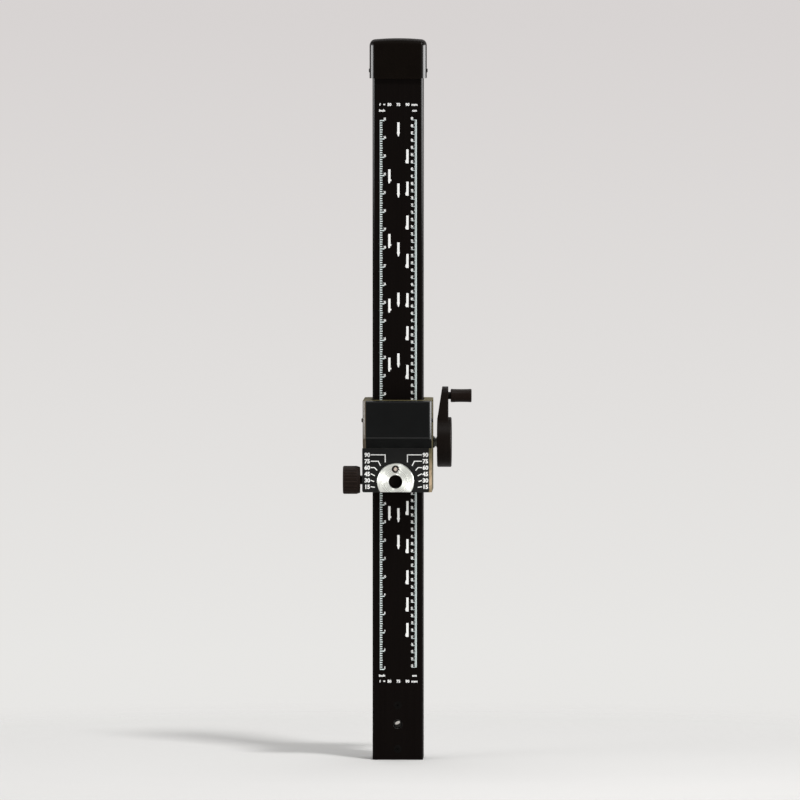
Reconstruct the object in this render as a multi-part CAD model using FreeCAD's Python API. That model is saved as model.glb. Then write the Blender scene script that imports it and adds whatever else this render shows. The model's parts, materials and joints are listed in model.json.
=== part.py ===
import FreeCAD, Part

# Enlarger column with a crank-driven head carriage, in millimetres.
# The column stands on the origin with +Z up, its scale faces -Y and the crank is on +X.

import math
import os

from FreeCAD import Vector

X_AXIS = Vector(1, 0, 0)
Y_AXIS = Vector(0, 1, 0)
Z_AXIS = Vector(0, 0, 1)

# Column extrusion
COLUMN_WIDTH = 70.0
COLUMN_DEPTH = 70.0
COLUMN_LENGTH = 964.0
COLUMN_WALL = 3.0
COLUMN_CORNER_RADIUS = 4.0
PORT_RADIUS = 4.0
PORT_BORE_RADIUS = 1.7
PORT_ROOT = 0.5

# Rack and pinion
GEAR_MODULE = 1.5
PRESSURE_ANGLE = math.radians(20.0)
PINION_TEETH = 14
PINION_WIDTH = 10.0
PINION_HUB_RADIUS = 8.0
PINION_HUB_LENGTH = 5.0
FLANK_POINTS = 6
ADDENDUM = 0.8 * GEAR_MODULE
DEDENDUM = 1.0 * GEAR_MODULE
BACKLASH = 0.2
RACK_WIDTH = 12.0
RACK_BASE = 3.5
RACK_SEAT_DEPTH = 4.0
RACK_EDGE_MARGIN = 11.0
RACK_SIDE_CLEARANCE = 0.1
RACK_END_MARGIN = 20.0
RACK_TOP_MARGIN = 5.0
RACK_PIN_INSET_TEETH = 1.5
RACK_PIN_RADIUS = 2.0
RACK_PIN_LENGTH = 6.0

# Counterbalance spring in the cap
STRIP_WIDTH = 16.0
STRIP_THICKNESS = 0.4
STRIP_DEPTH_IN_CHANNEL = 1.2
STRIP_SIDE_ROOM = 2.0
STRIP_CHANNEL_DEPTH = 3.0
STRIP_TO_COIL = 0.1
COIL_RADIUS = 12.2
DRUM_CORE_RADIUS = 7.0
DRUM_FLANGE_RADIUS = 13.5
DRUM_FLANGE_THICKNESS = 1.5
DRUM_SIDE_ROOM = 0.3
DRUM_FLOOR_ROOM = 0.8
AXLE_RADIUS = 2.5
RUNNING_CLEARANCE = 0.05
BRACKET_SHEET = 2.0
BRACKET_EDGE = 4.0
CHEEK_HALF_DEPTH = 8.0
CHEEK_ROOM = 0.8
CLIP_THICKNESS = 0.8
CLIP_RADIUS = 4.5
CLIP_MOUTH_SHARE = 1.4
BRACKET_SCREW_LENGTH = 10.0

# Cap
CAP_WALL = 3.8
CAP_CLEARANCE = 0.3
CAP_HEIGHT = 55.3
CAP_OVERLAP = 17.5
CAP_CORNER_RADIUS = 8.0
CAP_CROWN = 2.2
CAP_TOP_FILLET = 7.4
CAP_ROOF = 4.2
CAP_RIB_WIDTH = 16.0
CAP_SCREW_DROP = 7.0

# Foot
FOOT_HEIGHT = 92.0
FOOT_CLEARANCE = 0.3
BASE_BOLT_SPACING_X = 40.0
BASE_BOLT_SPACING_Y = 30.0
BASE_BOLT_HOLE_RADIUS = 3.4
BASE_BOLT_DEPTH = 32.0
FOOT_SCREW_HEIGHTS = (15.3, 76.0)
FOOT_SCREW_RADIUS = 2.5
FOOT_SCREW_HEAD_RADIUS = 5.5
FOOT_SCREW_LENGTH = 22.0
LOCK_SCREW_HEIGHT = 49.6
LOCK_SCREW_RADIUS = 4.0
LOCK_SCREW_HEAD_RADIUS = 5.6
LOCK_SCREW_HEAD_HEIGHT = 2.4
LOCK_SCREW_HOLE_RADIUS = 6.6
LOCK_SCREW_LENGTH = 24.0
SCREW_CLEARANCE = 0.05
SLOT_WIDTH = 1.4
SLOT_DEPTH_SHARE = 0.55
SCREW_BEVEL_SHARE = 1 / 3
SCREW_TOP_SHARE = 0.8
HEX_SOCKET_SHARE = 0.8
FIND_TOLERANCE = 0.1
FLAT_TOLERANCE = 1e-6

# Carriage housing
CARRIAGE_BOTTOM = 373.3
CARRIAGE_HEIGHT = 127.1
CARRIAGE_WIDTH = 95.5
CARRIAGE_WALL = 4.5
FRONT_REACH = 26.0
GEAR_ROOM = 2.3
REAR_CORNER_RADIUS = 8.0
FRONT_LEFT_RADIUS = 1.0
FRONT_RIGHT_CHAMFER = 3.6
COLLAR_HEIGHT = 10.0
GUIDE_GAP = 1.5
RACK_NOTCH_ROOM = 2.0
SERVICE_WINDOW_HALF_WIDTH = 22.0
SERVICE_WINDOW_HEIGHT = 60.0
REAR_COVER_LAP = 9.0
REAR_COVER_THICKNESS = 2.5
REAR_COVER_CORNER = 4.0

# Glide pads between the carriage collars and the column
GLIDE_GAP = 0.25
GLIDE_WIDTH = 5.0
GLIDE_HEIGHT = 8.0
GLIDE_EDGE = 6.5
GLIDE_PEG_RADIUS = 2.0
GLIDE_PEG_LENGTH = 4.0
SIDE_GLIDE_SPREAD = 22.0

# Front rollers under the cover
ROLLER_DROP = 33.4
ROLLER_RADIUS = 7.7
ROLLER_GAP = 0.3
ROLLER_WIDTH = 5.0
ROLLER_EDGE = 3.0
ROLLER_AXLE_RADIUS = 3.0
ROLLER_AXLE_WAIST = 4.5
ROLLER_SIDE_ROOM = 0.3
LUG_SIDE_ROOM = 1.3
LUG_THICKNESS = 5.5
LUG_ROOT = 2.0
AXLE_END_PLAY = 0.3
LUG_HEIGHT = 16.0
FRONT_WINDOW_HEIGHT = 24.0
LEAF_THICKNESS = 0.8
LEAF_FLANGE = 10.0
LEAF_FINGER_WIDTH = 5.0
SMALL_SCREW_RADIUS = 1.5
SMALL_SCREW_HEAD_RADIUS = 2.8
SMALL_SCREW_HEAD_HEIGHT = 1.7
SMALL_SCREW_LENGTH = 6.0

# Front cover over the upper half of the carriage
COVER_REACH = 17.0
COVER_WALL = 2.5
COVER_SLOPE_HEIGHT = 14.5
COVER_TOP_RADIUS = 2.5
COVER_NOSE_RADIUS = 3.0
COVER_SIDE_RADIUS = 4.5
COVER_LUG = 8.0
COVER_SCREW_DROP = 26.9
COVER_SCREW_SETBACK = 7.5

# Angle plate and tilting head seat
PLATE_THICKNESS = 2.0
PLATE_WIDTH = 92.6
PLATE_HEIGHT = 61.0
PLATE_GAP = 0.2
PLATE_CORNER = 2.5
HEAD_AXIS_X = -2.3
HEAD_AXIS_HEIGHT = 15.0
DISC_RADIUS = 25.5
DISC_THICKNESS = 6.7
DISC_GAP = 0.3
DISC_FLAT = 14.4
DISC_CHAMFER = 0.7
HUB_RADIUS = 12.5
HUB_BOSS_RADIUS = 18.0
HUB_REAR_ROOM = 2.2
HEAD_BORE_RADIUS = 9.5
HEAD_BORE_DEPTH = 28.0
RING_STAND = 0.9
RING_ROOM = 0.4
RING_THICKNESS = 1.0
INDEX_RADIUS = 17.5
INDEX_HOLE_RADIUS = 5.2
INDEX_HOLE_DEPTH = 3.6
INDEX_SCREW_RADIUS = 2.0
INDEX_HEAD_RADIUS = 2.9
INDEX_HEAD_HEIGHT = 2.2
INDEX_SCREW_LENGTH = 2.6

# Tilt clamp on the left
CLAMP_AXIS_HEIGHT = 16.7
CLAMP_SETBACK = 11.0
CLAMP_BOSS_RADIUS = 8.0
CLAMP_SPINDLE_RADIUS = 4.0
CLAMP_SHOE_LENGTH = 9.0
CLAMP_SHOE_GAP = 0.3
CLAMP_SHOE_TRAVEL = 1.5
CLAMP_NECK_RADIUS = 6.2
CLAMP_NECK_LENGTH = 3.7
CLAMP_FACE_ROOM = 0.4
KNOB_RADIUS = 19.5
KNOB_LENGTH = 23.6
KNOB_CHAMFER = 1.2
KNOB_INNER_TAPER = 1.6
KNOB_TAPER_LENGTH = 4.72
KNOB_FLUTES = 24
KNOB_FLUTE_RADIUS = 2.0
KNOB_FLUTE_DEPTH = 0.7
KNOB_FACE_RECESS = 1.2
KNOB_RIM = 4.0
KNOB_SOCKET_DEPTH = 14.0

# Crank
CRANK_AXIS_HEIGHT = 65.2
CRANK_RADIUS = 64.8
SHAFT_RADIUS = 5.0
SHAFT_INNER_END = 2.4
SHAFT_FLAT_HEIGHT = 3.5
SHAFT_CLIP_RADIUS = 7.0
SHAFT_CLIP_SETBACK = 1.2
BUSH_RADIUS = 6.5
BUSH_FLANGE_RADIUS = 8.5
BUSH_FLANGE = 1.5
BUSH_PRESS_CLEARANCE = 0.01
SHAFT_BOSS_RADIUS = 9.5
SHAFT_BOSS_GAP = 1.0
COLLAR_RADIUS = 7.5
COLLAR_LENGTH = 4.1
COLLAR_GROOVE = 1.4
COLLAR_END_PLAY = 0.1
CRANK_DISC_RADIUS = 34.8
CRANK_DISC_THICKNESS = 19.8
CRANK_DISC_CHAMFER = 1.0
CRANK_DISH_RADIUS = 29.0
CRANK_DISH_DEPTH = 2.6
CRANK_BACK_RADIUS = 31.5
CRANK_BACK_DEPTH = 9.0
CRANK_HUB_RADIUS = 10.0
CRANK_RIBS = 6
CRANK_RIB_WIDTH = 2.4
CRANK_WEB = 2.0
ARM_FACE_STEP = 4.5
ARM_ROOT_RADIUS = 22.0
ARM_END_RADIUS = 12.8
ARM_END_THICKNESS = 8.3
ARM_ROOT_THICKNESS = 14.8
CRANK_SCREW_RADIUS = 2.5
CRANK_SCREW_HEAD_RADIUS = 5.0
CRANK_SCREW_HEAD_HEIGHT = 2.2
CRANK_SCREW_LENGTH = 12.0
GRIP_RADIUS = 9.4
GRIP_LENGTH = 29.2
GRIP_NECK_RADIUS = 5.2
GRIP_NECK_LENGTH = 3.2
GRIP_PIN_RADIUS = 3.0
GRIP_PIN_HEAD_RADIUS = 5.0
GRIP_PIN_HEAD = 2.0
GRIP_HEAD_ROOM = 0.15
GRIP_END_RECESS = 4.4
GRIP_EDGE_RADIUS = 1.4
GRIP_WAIST = 0.4
PIN_RADIUS = 1.25

# Strip anchor on the carriage
ANCHOR_WIDTH = 16.0
ANCHOR_SHEET = 2.0
ANCHOR_TONGUE = 14.0
ANCHOR_FLANGE = 12.0
STRIP_LAP = 11.0
RIVET_RADIUS = 1.2
RIVET_HEAD_RADIUS = 2.0
RIVET_HEAD = 0.6
RIVET_SPACING = 8.0

# Places worked out from the sizes above
COLUMN_SIDE_X = COLUMN_WIDTH / 2
COLUMN_FRONT_Y = -COLUMN_DEPTH / 2
COLUMN_REAR_Y = COLUMN_DEPTH / 2
BORE_SIDE_X = COLUMN_SIDE_X - COLUMN_WALL
BORE_FRONT_Y = COLUMN_FRONT_Y + COLUMN_WALL
BORE_REAR_Y = COLUMN_REAR_Y - COLUMN_WALL
BORE_PAD_Y = COLUMN_REAR_Y - RACK_SEAT_DEPTH - COLUMN_WALL
CHANNEL_HALF = STRIP_WIDTH / 2 + STRIP_SIDE_ROOM
PORT_X = BORE_SIDE_X - PORT_RADIUS + PORT_ROOT
PORT_FRONT_Y = BORE_FRONT_Y + PORT_RADIUS - PORT_ROOT
PORT_REAR_Y = BORE_PAD_Y - PORT_RADIUS + PORT_ROOT
PORTS = [(x, y) for x in (-PORT_X, PORT_X) for y in (PORT_FRONT_Y, PORT_REAR_Y)]

CAP_BOTTOM = COLUMN_LENGTH - CAP_OVERLAP
CAP_TOP = CAP_BOTTOM + CAP_HEIGHT
CAP_SCREW_Z = COLUMN_LENGTH - CAP_SCREW_DROP

CARRIAGE_TOP = CARRIAGE_BOTTOM + CARRIAGE_HEIGHT
CARRIAGE_SIDE_X = CARRIAGE_WIDTH / 2
CARRIAGE_FRONT_Y = COLUMN_FRONT_Y - FRONT_REACH
WINDOW_X = COLUMN_SIDE_X + GUIDE_GAP
WINDOW_FRONT_Y = COLUMN_FRONT_Y - GUIDE_GAP
WINDOW_REAR_Y = COLUMN_REAR_Y + GUIDE_GAP

GEAR_PITCH = math.pi * GEAR_MODULE
PITCH_RADIUS = GEAR_MODULE * PINION_TEETH / 2
PINION_TIP_RADIUS = PITCH_RADIUS + ADDENDUM
RACK_X = COLUMN_SIDE_X - RACK_EDGE_MARGIN
RACK_SEAT_Y = COLUMN_REAR_Y - RACK_SEAT_DEPTH
RACK_PITCH_Y = RACK_SEAT_Y + RACK_BASE + DEDENDUM
CRANK_Y = RACK_PITCH_Y + PITCH_RADIUS
CRANK_Z = CARRIAGE_BOTTOM + CRANK_AXIS_HEIGHT
CARRIAGE_REAR_Y = CRANK_Y + PINION_TIP_RADIUS + GEAR_ROOM + CARRIAGE_WALL
RACK_TEETH_BELOW = int((CRANK_Z - RACK_END_MARGIN) / GEAR_PITCH)
RACK_BOTTOM = CRANK_Z - RACK_TEETH_BELOW * GEAR_PITCH
RACK_TEETH = int((CAP_BOTTOM - RACK_TOP_MARGIN - RACK_BOTTOM) / GEAR_PITCH)
RACK_TOP = RACK_BOTTOM + RACK_TEETH * GEAR_PITCH

STRIP_FRONT_Y = COLUMN_REAR_Y - STRIP_DEPTH_IN_CHANNEL - STRIP_THICKNESS
STRIP_REAR_Y = STRIP_FRONT_Y + STRIP_THICKNESS
DRUM_Y = STRIP_FRONT_Y - STRIP_TO_COIL - COIL_RADIUS
DRUM_Z = COLUMN_LENGTH + BRACKET_SHEET + DRUM_FLOOR_ROOM + DRUM_FLANGE_RADIUS
DRUM_FLANGE_X = STRIP_WIDTH / 2 + DRUM_SIDE_ROOM
DRUM_END_X = DRUM_FLANGE_X + DRUM_FLANGE_THICKNESS
CHEEK_X = DRUM_END_X + CHEEK_ROOM

HEAD_Z = CARRIAGE_BOTTOM + HEAD_AXIS_HEIGHT
PLATE_FRONT_Y = CARRIAGE_FRONT_Y - PLATE_THICKNESS
DISC_REAR_Y = PLATE_FRONT_Y - DISC_GAP
DISC_FRONT_Y = DISC_REAR_Y - DISC_THICKNESS
HUB_REAR_Y = COLUMN_FRONT_Y - HUB_REAR_ROOM
RING_RADIUS = HUB_RADIUS + RING_STAND
RING_FRONT_Y = HUB_REAR_Y - 2 * RING_THICKNESS
HUB_BOSS_REAR_Y = RING_FRONT_Y - DISC_GAP
PLATE_TOP = CARRIAGE_BOTTOM + PLATE_HEIGHT
COVER_BOTTOM = PLATE_TOP + PLATE_GAP
COVER_FRONT_Y = CARRIAGE_FRONT_Y - COVER_REACH
PLATE_LEFT_X = HEAD_AXIS_X - PLATE_WIDTH / 2

CLAMP_Y = CARRIAGE_FRONT_Y + CLAMP_SETBACK
CLAMP_Z = CARRIAGE_BOTTOM + CLAMP_AXIS_HEIGHT
CLAMP_SHOE_X = HEAD_AXIS_X - HUB_RADIUS - CLAMP_SHOE_GAP
CLAMP_SPINDLE_X = CLAMP_SHOE_X - CLAMP_SHOE_LENGTH - CLAMP_SHOE_TRAVEL
KNOB_INNER_X = -CARRIAGE_SIDE_X - CLAMP_FACE_ROOM - CLAMP_NECK_LENGTH
KNOB_OUTER_X = KNOB_INNER_X - KNOB_LENGTH

ROLLER_Y = COLUMN_FRONT_Y - ROLLER_GAP - ROLLER_RADIUS
ROLLER_Z = CARRIAGE_TOP - ROLLER_DROP
ROLLER_OUTER_X = COLUMN_SIDE_X - ROLLER_EDGE
ROLLER_INNER_X = ROLLER_OUTER_X - ROLLER_WIDTH
LUG_X = ROLLER_OUTER_X + LUG_SIDE_ROOM
FRONT_WINDOW_X = LUG_X + LUG_THICKNESS - LUG_ROOT
ROLLER_AXLE_X = FRONT_WINDOW_X - AXLE_END_PLAY

PINION_INNER_X = RACK_X - PINION_WIDTH / 2
PINION_OUTER_X = RACK_X + PINION_WIDTH / 2
SHAFT_BOSS_X = PINION_OUTER_X + PINION_HUB_LENGTH + SHAFT_BOSS_GAP
BUSH_FACE_X = CARRIAGE_SIDE_X + BUSH_FLANGE
COLLAR_X = BUSH_FACE_X + COLLAR_END_PLAY
CRANK_BACK_X = COLLAR_X + COLLAR_LENGTH
CRANK_FACE_X = CRANK_BACK_X + CRANK_DISC_THICKNESS
ARM_FACE_X = CRANK_FACE_X - ARM_FACE_STEP
GRIP_INNER_X = ARM_FACE_X + GRIP_NECK_LENGTH + COLLAR_END_PLAY
GRIP_OUTER_X = GRIP_INNER_X + GRIP_LENGTH

ANCHOR_BOTTOM = CARRIAGE_TOP - ANCHOR_TONGUE
STRIP_BOTTOM = CARRIAGE_TOP - STRIP_LAP


# Shapes that several pieces share
def block(x0, x1, y0, y1, z0, z1):
    """A box between two opposite corners."""
    return Part.makeBox(x1 - x0, y1 - y0, z1 - z0, Vector(x0, y0, z0))


def rod(radius, start, end):
    """A round bar between two points."""
    along = end - start
    return Part.makeCylinder(radius, along.Length, start, along)


def tube(radius, bore, start, end):
    """A round bar with a bore through it."""
    return rod(radius, start, end).cut(rod(bore, start, end))


def cone(start_radius, end_radius, start, end):
    """A tapered round bar between two points."""
    along = end - start
    return Part.makeCone(start_radius, end_radius, along.Length, start, along)


def prism(points, along):
    """A closed outline of straight edges, pushed along a vector."""
    return Part.Face(Part.makePolygon(points + points[:1])).extrude(along)


def turned(points, centre, axis):
    """A closed outline spun once round an axis."""
    return Part.Face(Part.makePolygon(points + points[:1])).revolve(centre, axis, 360)


def fused(first, *others):
    """Several touching shapes as one solid, with no seams left on flat faces."""
    return first.fuse(list(others)).removeSplitter()


def rounded_bar(x0, x1, y0, y1, z0, z1, radius):
    """A box whose four upright edges are rounded."""
    bar = block(x0, x1, y0, y1, z0, z1)
    return bar.makeFillet(radius, upright_edges(bar))


def upright_edges(shape):
    """The straight edges of a shape that run along Z."""
    return [e for e in shape.Edges if max(e.BoundBox.XLength, e.BoundBox.YLength) < FLAT_TOLERANCE]


def level_edges(shape):
    """The straight edges of a shape that run along Y."""
    return [e for e in shape.Edges if max(e.BoundBox.XLength, e.BoundBox.ZLength) < FLAT_TOLERANCE]


def edges_between(shape, low, high):
    """The edges of a shape that lie wholly inside a box given by two corners."""
    box = FreeCAD.BoundBox(low.x, low.y, low.z, high.x, high.y, high.z)
    return [e for e in shape.Edges if box.isInside(e.BoundBox)]


def pan_screw(seat, inward, radius, length, head_radius, head_height):
    """A slotted screw with its head standing on the seat and its shank going inward."""
    top = seat - inward * head_height
    side = Z_AXIS if abs(inward.z) < 0.5 else X_AXIS
    shoulder = top + inward * (head_height * SCREW_BEVEL_SHARE)
    bevel = cone(head_radius * SCREW_TOP_SHARE, head_radius, top, shoulder)
    head = fused(rod(head_radius, shoulder, seat), bevel)
    half = side * head_radius
    across = inward.cross(side) * (SLOT_WIDTH / 2)
    corners = [top - half - across, top + half - across, top + half + across, top - half + across]
    slot = prism(corners, inward * (head_height * SLOT_DEPTH_SHARE))
    return fused(head, rod(radius, seat, seat + inward * length)).cut(slot)


def c_clip(centre, axis, bore, radius, thickness):
    """An open retaining clip round a shaft."""
    ring = tube(radius, bore, centre, centre + axis * thickness)
    width = bore * CLIP_MOUTH_SHARE
    mouth = Part.makeBox(thickness * 3, width, radius * 2)
    mouth.translate(Vector(-thickness, -width / 2, 0))
    mouth.Placement = FreeCAD.Placement(centre, FreeCAD.Rotation(X_AXIS, axis)).multiply(mouth.Placement)
    return ring.cut(mouth)


# Column pieces
def column_tube():
    """Extruded box column with a strip channel, a rack groove and four screw ports."""
    outside = rounded_bar(
        -COLUMN_SIDE_X, COLUMN_SIDE_X, COLUMN_FRONT_Y, COLUMN_REAR_Y, 0, COLUMN_LENGTH, COLUMN_CORNER_RADIUS
    )
    pad_x = -CHANNEL_HALF - COLUMN_WALL
    bore_outline = [
        Vector(-BORE_SIDE_X, BORE_FRONT_Y, 0),
        Vector(BORE_SIDE_X, BORE_FRONT_Y, 0),
        Vector(BORE_SIDE_X, BORE_PAD_Y, 0),
        Vector(pad_x, BORE_PAD_Y, 0),
        Vector(pad_x, BORE_REAR_Y, 0),
        Vector(-BORE_SIDE_X, BORE_REAR_Y, 0),
    ]
    shape = outside.cut(prism(bore_outline, Z_AXIS * COLUMN_LENGTH))
    ports = [rod(PORT_RADIUS, Vector(x, y, 0), Vector(x, y, COLUMN_LENGTH)) for x, y in PORTS]
    shape = fused(shape, *[port.common(outside) for port in ports])
    cuts = [rod(PORT_BORE_RADIUS, Vector(x, y, 0), Vector(x, y, COLUMN_LENGTH)) for x, y in PORTS]
    channel_floor = COLUMN_REAR_Y - STRIP_CHANNEL_DEPTH
    cuts.append(block(-CHANNEL_HALF, CHANNEL_HALF, channel_floor, COLUMN_REAR_Y, 0, COLUMN_LENGTH))
    groove_half = RACK_WIDTH / 2 + RACK_SIDE_CLEARANCE
    groove = block(RACK_X - groove_half, RACK_X + groove_half, RACK_SEAT_Y, COLUMN_REAR_Y, 0, COLUMN_LENGTH)
    cuts.append(groove)
    for z in FOOT_SCREW_HEIGHTS:
        cuts.append(foot_screw_outline(z, SCREW_CLEARANCE))
    cuts.append(rod(LOCK_SCREW_HOLE_RADIUS, Vector(0, COLUMN_FRONT_Y, LOCK_SCREW_HEIGHT),
                    Vector(0, BORE_FRONT_Y, LOCK_SCREW_HEIGHT)))
    for side in (-1, 1):
        cuts.append(rod(SMALL_SCREW_RADIUS + SCREW_CLEARANCE, Vector(side * BORE_SIDE_X, 0, CAP_SCREW_Z),
                        Vector(side * COLUMN_SIDE_X, 0, CAP_SCREW_Z)))
    for z in rack_pin_heights():
        cuts.append(rod(RACK_PIN_RADIUS, Vector(RACK_X, BORE_PAD_Y, z), Vector(RACK_X, RACK_SEAT_Y, z)))
    return shape.cut(cuts)


def rack_pin_heights():
    """Where the two pins hold the rack, each under the middle of a tooth near one end."""
    inset = RACK_PIN_INSET_TEETH * GEAR_PITCH
    return [RACK_BOTTOM + inset, RACK_TOP - inset]


def rack():
    """Toothed rack that lies in the groove behind the column."""
    root_y = RACK_SEAT_Y + RACK_BASE
    tip_y = root_y + DEDENDUM + ADDENDUM
    half_pitch = (GEAR_PITCH - BACKLASH) / 4
    lean = math.tan(PRESSURE_ANGLE)
    half_root = half_pitch + DEDENDUM * lean
    half_tip = half_pitch - ADDENDUM * lean
    x = RACK_X - RACK_WIDTH / 2
    outline = [
        Vector(x, RACK_SEAT_Y, RACK_TOP),
        Vector(x, RACK_SEAT_Y, RACK_BOTTOM),
        Vector(x, root_y, RACK_BOTTOM),
    ]
    for tooth in range(RACK_TEETH):
        middle = RACK_BOTTOM + (tooth + 0.5) * GEAR_PITCH
        outline += [
            Vector(x, root_y, middle - half_root),
            Vector(x, tip_y, middle - half_tip),
            Vector(x, tip_y, middle + half_tip),
            Vector(x, root_y, middle + half_root),
        ]
    outline.append(Vector(x, root_y, RACK_TOP))
    shape = prism(outline, X_AXIS * RACK_WIDTH)
    pin_holes = [
        rod(RACK_PIN_RADIUS, Vector(RACK_X, RACK_SEAT_Y, z), Vector(RACK_X, root_y, z))
        for z in rack_pin_heights()
    ]
    return shape.cut(pin_holes)


def rack_pins():
    """Two dowels that hold the rack in its groove."""
    root_y = RACK_SEAT_Y + RACK_BASE
    radius = RACK_PIN_RADIUS - SCREW_CLEARANCE
    return [rod(radius, Vector(RACK_X, root_y - RACK_PIN_LENGTH, z), Vector(RACK_X, root_y, z))
            for z in rack_pin_heights()]


def foot_block():
    """Cast block inside the column's lower end, tapped for the base bolts and the front screws."""
    side_x = PORT_X - PORT_RADIUS - FOOT_CLEARANCE
    front_y = PORT_FRONT_Y + PORT_RADIUS + FOOT_CLEARANCE
    rear_y = PORT_REAR_Y - PORT_RADIUS - FOOT_CLEARANCE
    wide_x = BORE_SIDE_X - FOOT_CLEARANCE
    core = block(-side_x, side_x, BORE_FRONT_Y, BORE_PAD_Y - FOOT_CLEARANCE, 0, FOOT_HEIGHT)
    wings = block(-wide_x, wide_x, front_y, rear_y, 0, FOOT_HEIGHT)
    shape = fused(core, wings)
    cuts = []
    for bolt_x in (-BASE_BOLT_SPACING_X / 2, BASE_BOLT_SPACING_X / 2):
        for bolt_y in (-BASE_BOLT_SPACING_Y / 2, BASE_BOLT_SPACING_Y / 2):
            start = Vector(bolt_x, bolt_y, 0)
            cuts.append(rod(BASE_BOLT_HOLE_RADIUS, start, start + Z_AXIS * BASE_BOLT_DEPTH))
    for z in FOOT_SCREW_HEIGHTS:
        cuts.append(foot_screw_outline(z, SCREW_CLEARANCE))
    cuts.append(rod(LOCK_SCREW_RADIUS + SCREW_CLEARANCE, Vector(0, BORE_FRONT_Y, LOCK_SCREW_HEIGHT),
                    Vector(0, BORE_FRONT_Y + LOCK_SCREW_LENGTH, LOCK_SCREW_HEIGHT)))
    return shape.cut(cuts)


def foot_screw_outline(z, room):
    """A countersunk screw through the column's front wall, or its hole when there is room round it."""
    face = Vector(0, COLUMN_FRONT_Y, z)
    neck = face + Y_AXIS * COLUMN_WALL
    head = cone(FOOT_SCREW_HEAD_RADIUS + room, FOOT_SCREW_RADIUS + room, face, neck)
    shank = rod(FOOT_SCREW_RADIUS + room, neck, face + Y_AXIS * (FOOT_SCREW_LENGTH + room))
    return fused(head, shank)


def foot_screws():
    """Two black countersunk screws with hexagon sockets."""
    screws = []
    for z in FOOT_SCREW_HEIGHTS:
        reach = FOOT_SCREW_RADIUS * HEX_SOCKET_SHARE
        turns = [math.radians(60 * corner) for corner in range(6)]
        corners = [Vector(reach * math.cos(t), COLUMN_FRONT_Y, z + reach * math.sin(t)) for t in turns]
        screws.append(foot_screw_outline(z, 0).cut(prism(corners, Y_AXIS * FOOT_SCREW_RADIUS)))
    return screws


def foot_lock_screw():
    """Bright slotted screw that pulls the foot block against the column's front wall."""
    seat = Vector(0, BORE_FRONT_Y, LOCK_SCREW_HEIGHT)
    return pan_screw(seat, Y_AXIS, LOCK_SCREW_RADIUS, LOCK_SCREW_LENGTH, LOCK_SCREW_HEAD_RADIUS,
                     LOCK_SCREW_HEAD_HEIGHT)


# Cap and counterbalance spring
def column_cap():
    """Moulded cap with a crowned top, hollow over the spring drum, standing on three inner ribs."""
    half_x = COLUMN_SIDE_X + CAP_CLEARANCE + CAP_WALL
    half_y = COLUMN_REAR_Y + CAP_CLEARANCE + CAP_WALL
    outside = rounded_bar(-half_x, half_x, -half_y, half_y, CAP_BOTTOM, CAP_TOP, CAP_CORNER_RADIUS)
    crown_radius = (half_x ** 2 + CAP_CROWN ** 2) / (2 * CAP_CROWN)
    outside = outside.common(Part.makeSphere(crown_radius, Vector(0, 0, CAP_TOP - crown_radius)))
    shoulder = CAP_TOP - 3 * CAP_CROWN
    low = Vector(-half_x - 1, -half_y - 1, shoulder)
    rim = edges_between(outside, low, Vector(half_x + 1, half_y + 1, CAP_TOP))
    outside = outside.makeFillet(CAP_TOP_FILLET, rim)
    room_x = COLUMN_SIDE_X + CAP_CLEARANCE
    room_y = COLUMN_REAR_Y + CAP_CLEARANCE
    hollow = rounded_bar(-room_x, room_x, -room_y, room_y, CAP_BOTTOM, CAP_TOP - CAP_ROOF - CAP_CROWN,
                         COLUMN_CORNER_RADIUS)
    rib_half = CAP_RIB_WIDTH / 2
    roof = CAP_TOP - CAP_ROOF
    ribs = [
        block(-room_x, -BORE_SIDE_X, -rib_half, rib_half, COLUMN_LENGTH, roof),
        block(BORE_SIDE_X, room_x, -rib_half, rib_half, COLUMN_LENGTH, roof),
        block(-rib_half, rib_half, -room_y, BORE_FRONT_Y, COLUMN_LENGTH, roof),
    ]
    holes = [
        rod(SMALL_SCREW_RADIUS + SCREW_CLEARANCE, Vector(side * COLUMN_SIDE_X, 0, CAP_SCREW_Z),
            Vector(side * half_x, 0, CAP_SCREW_Z))
        for side in (-1, 1)
    ]
    return outside.cut(hollow.cut(ribs)).cut(holes)


def cap_screws():
    """Two side screws that hold the cap on the column."""
    seat_x = COLUMN_SIDE_X + CAP_CLEARANCE + CAP_WALL
    length = CAP_WALL + CAP_CLEARANCE + COLUMN_WALL
    return [pan_screw(Vector(side * seat_x, 0, CAP_SCREW_Z), X_AXIS * -side, SMALL_SCREW_RADIUS, length,
                      SMALL_SCREW_HEAD_RADIUS, SMALL_SCREW_HEAD_HEIGHT) for side in (-1, 1)]


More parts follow.
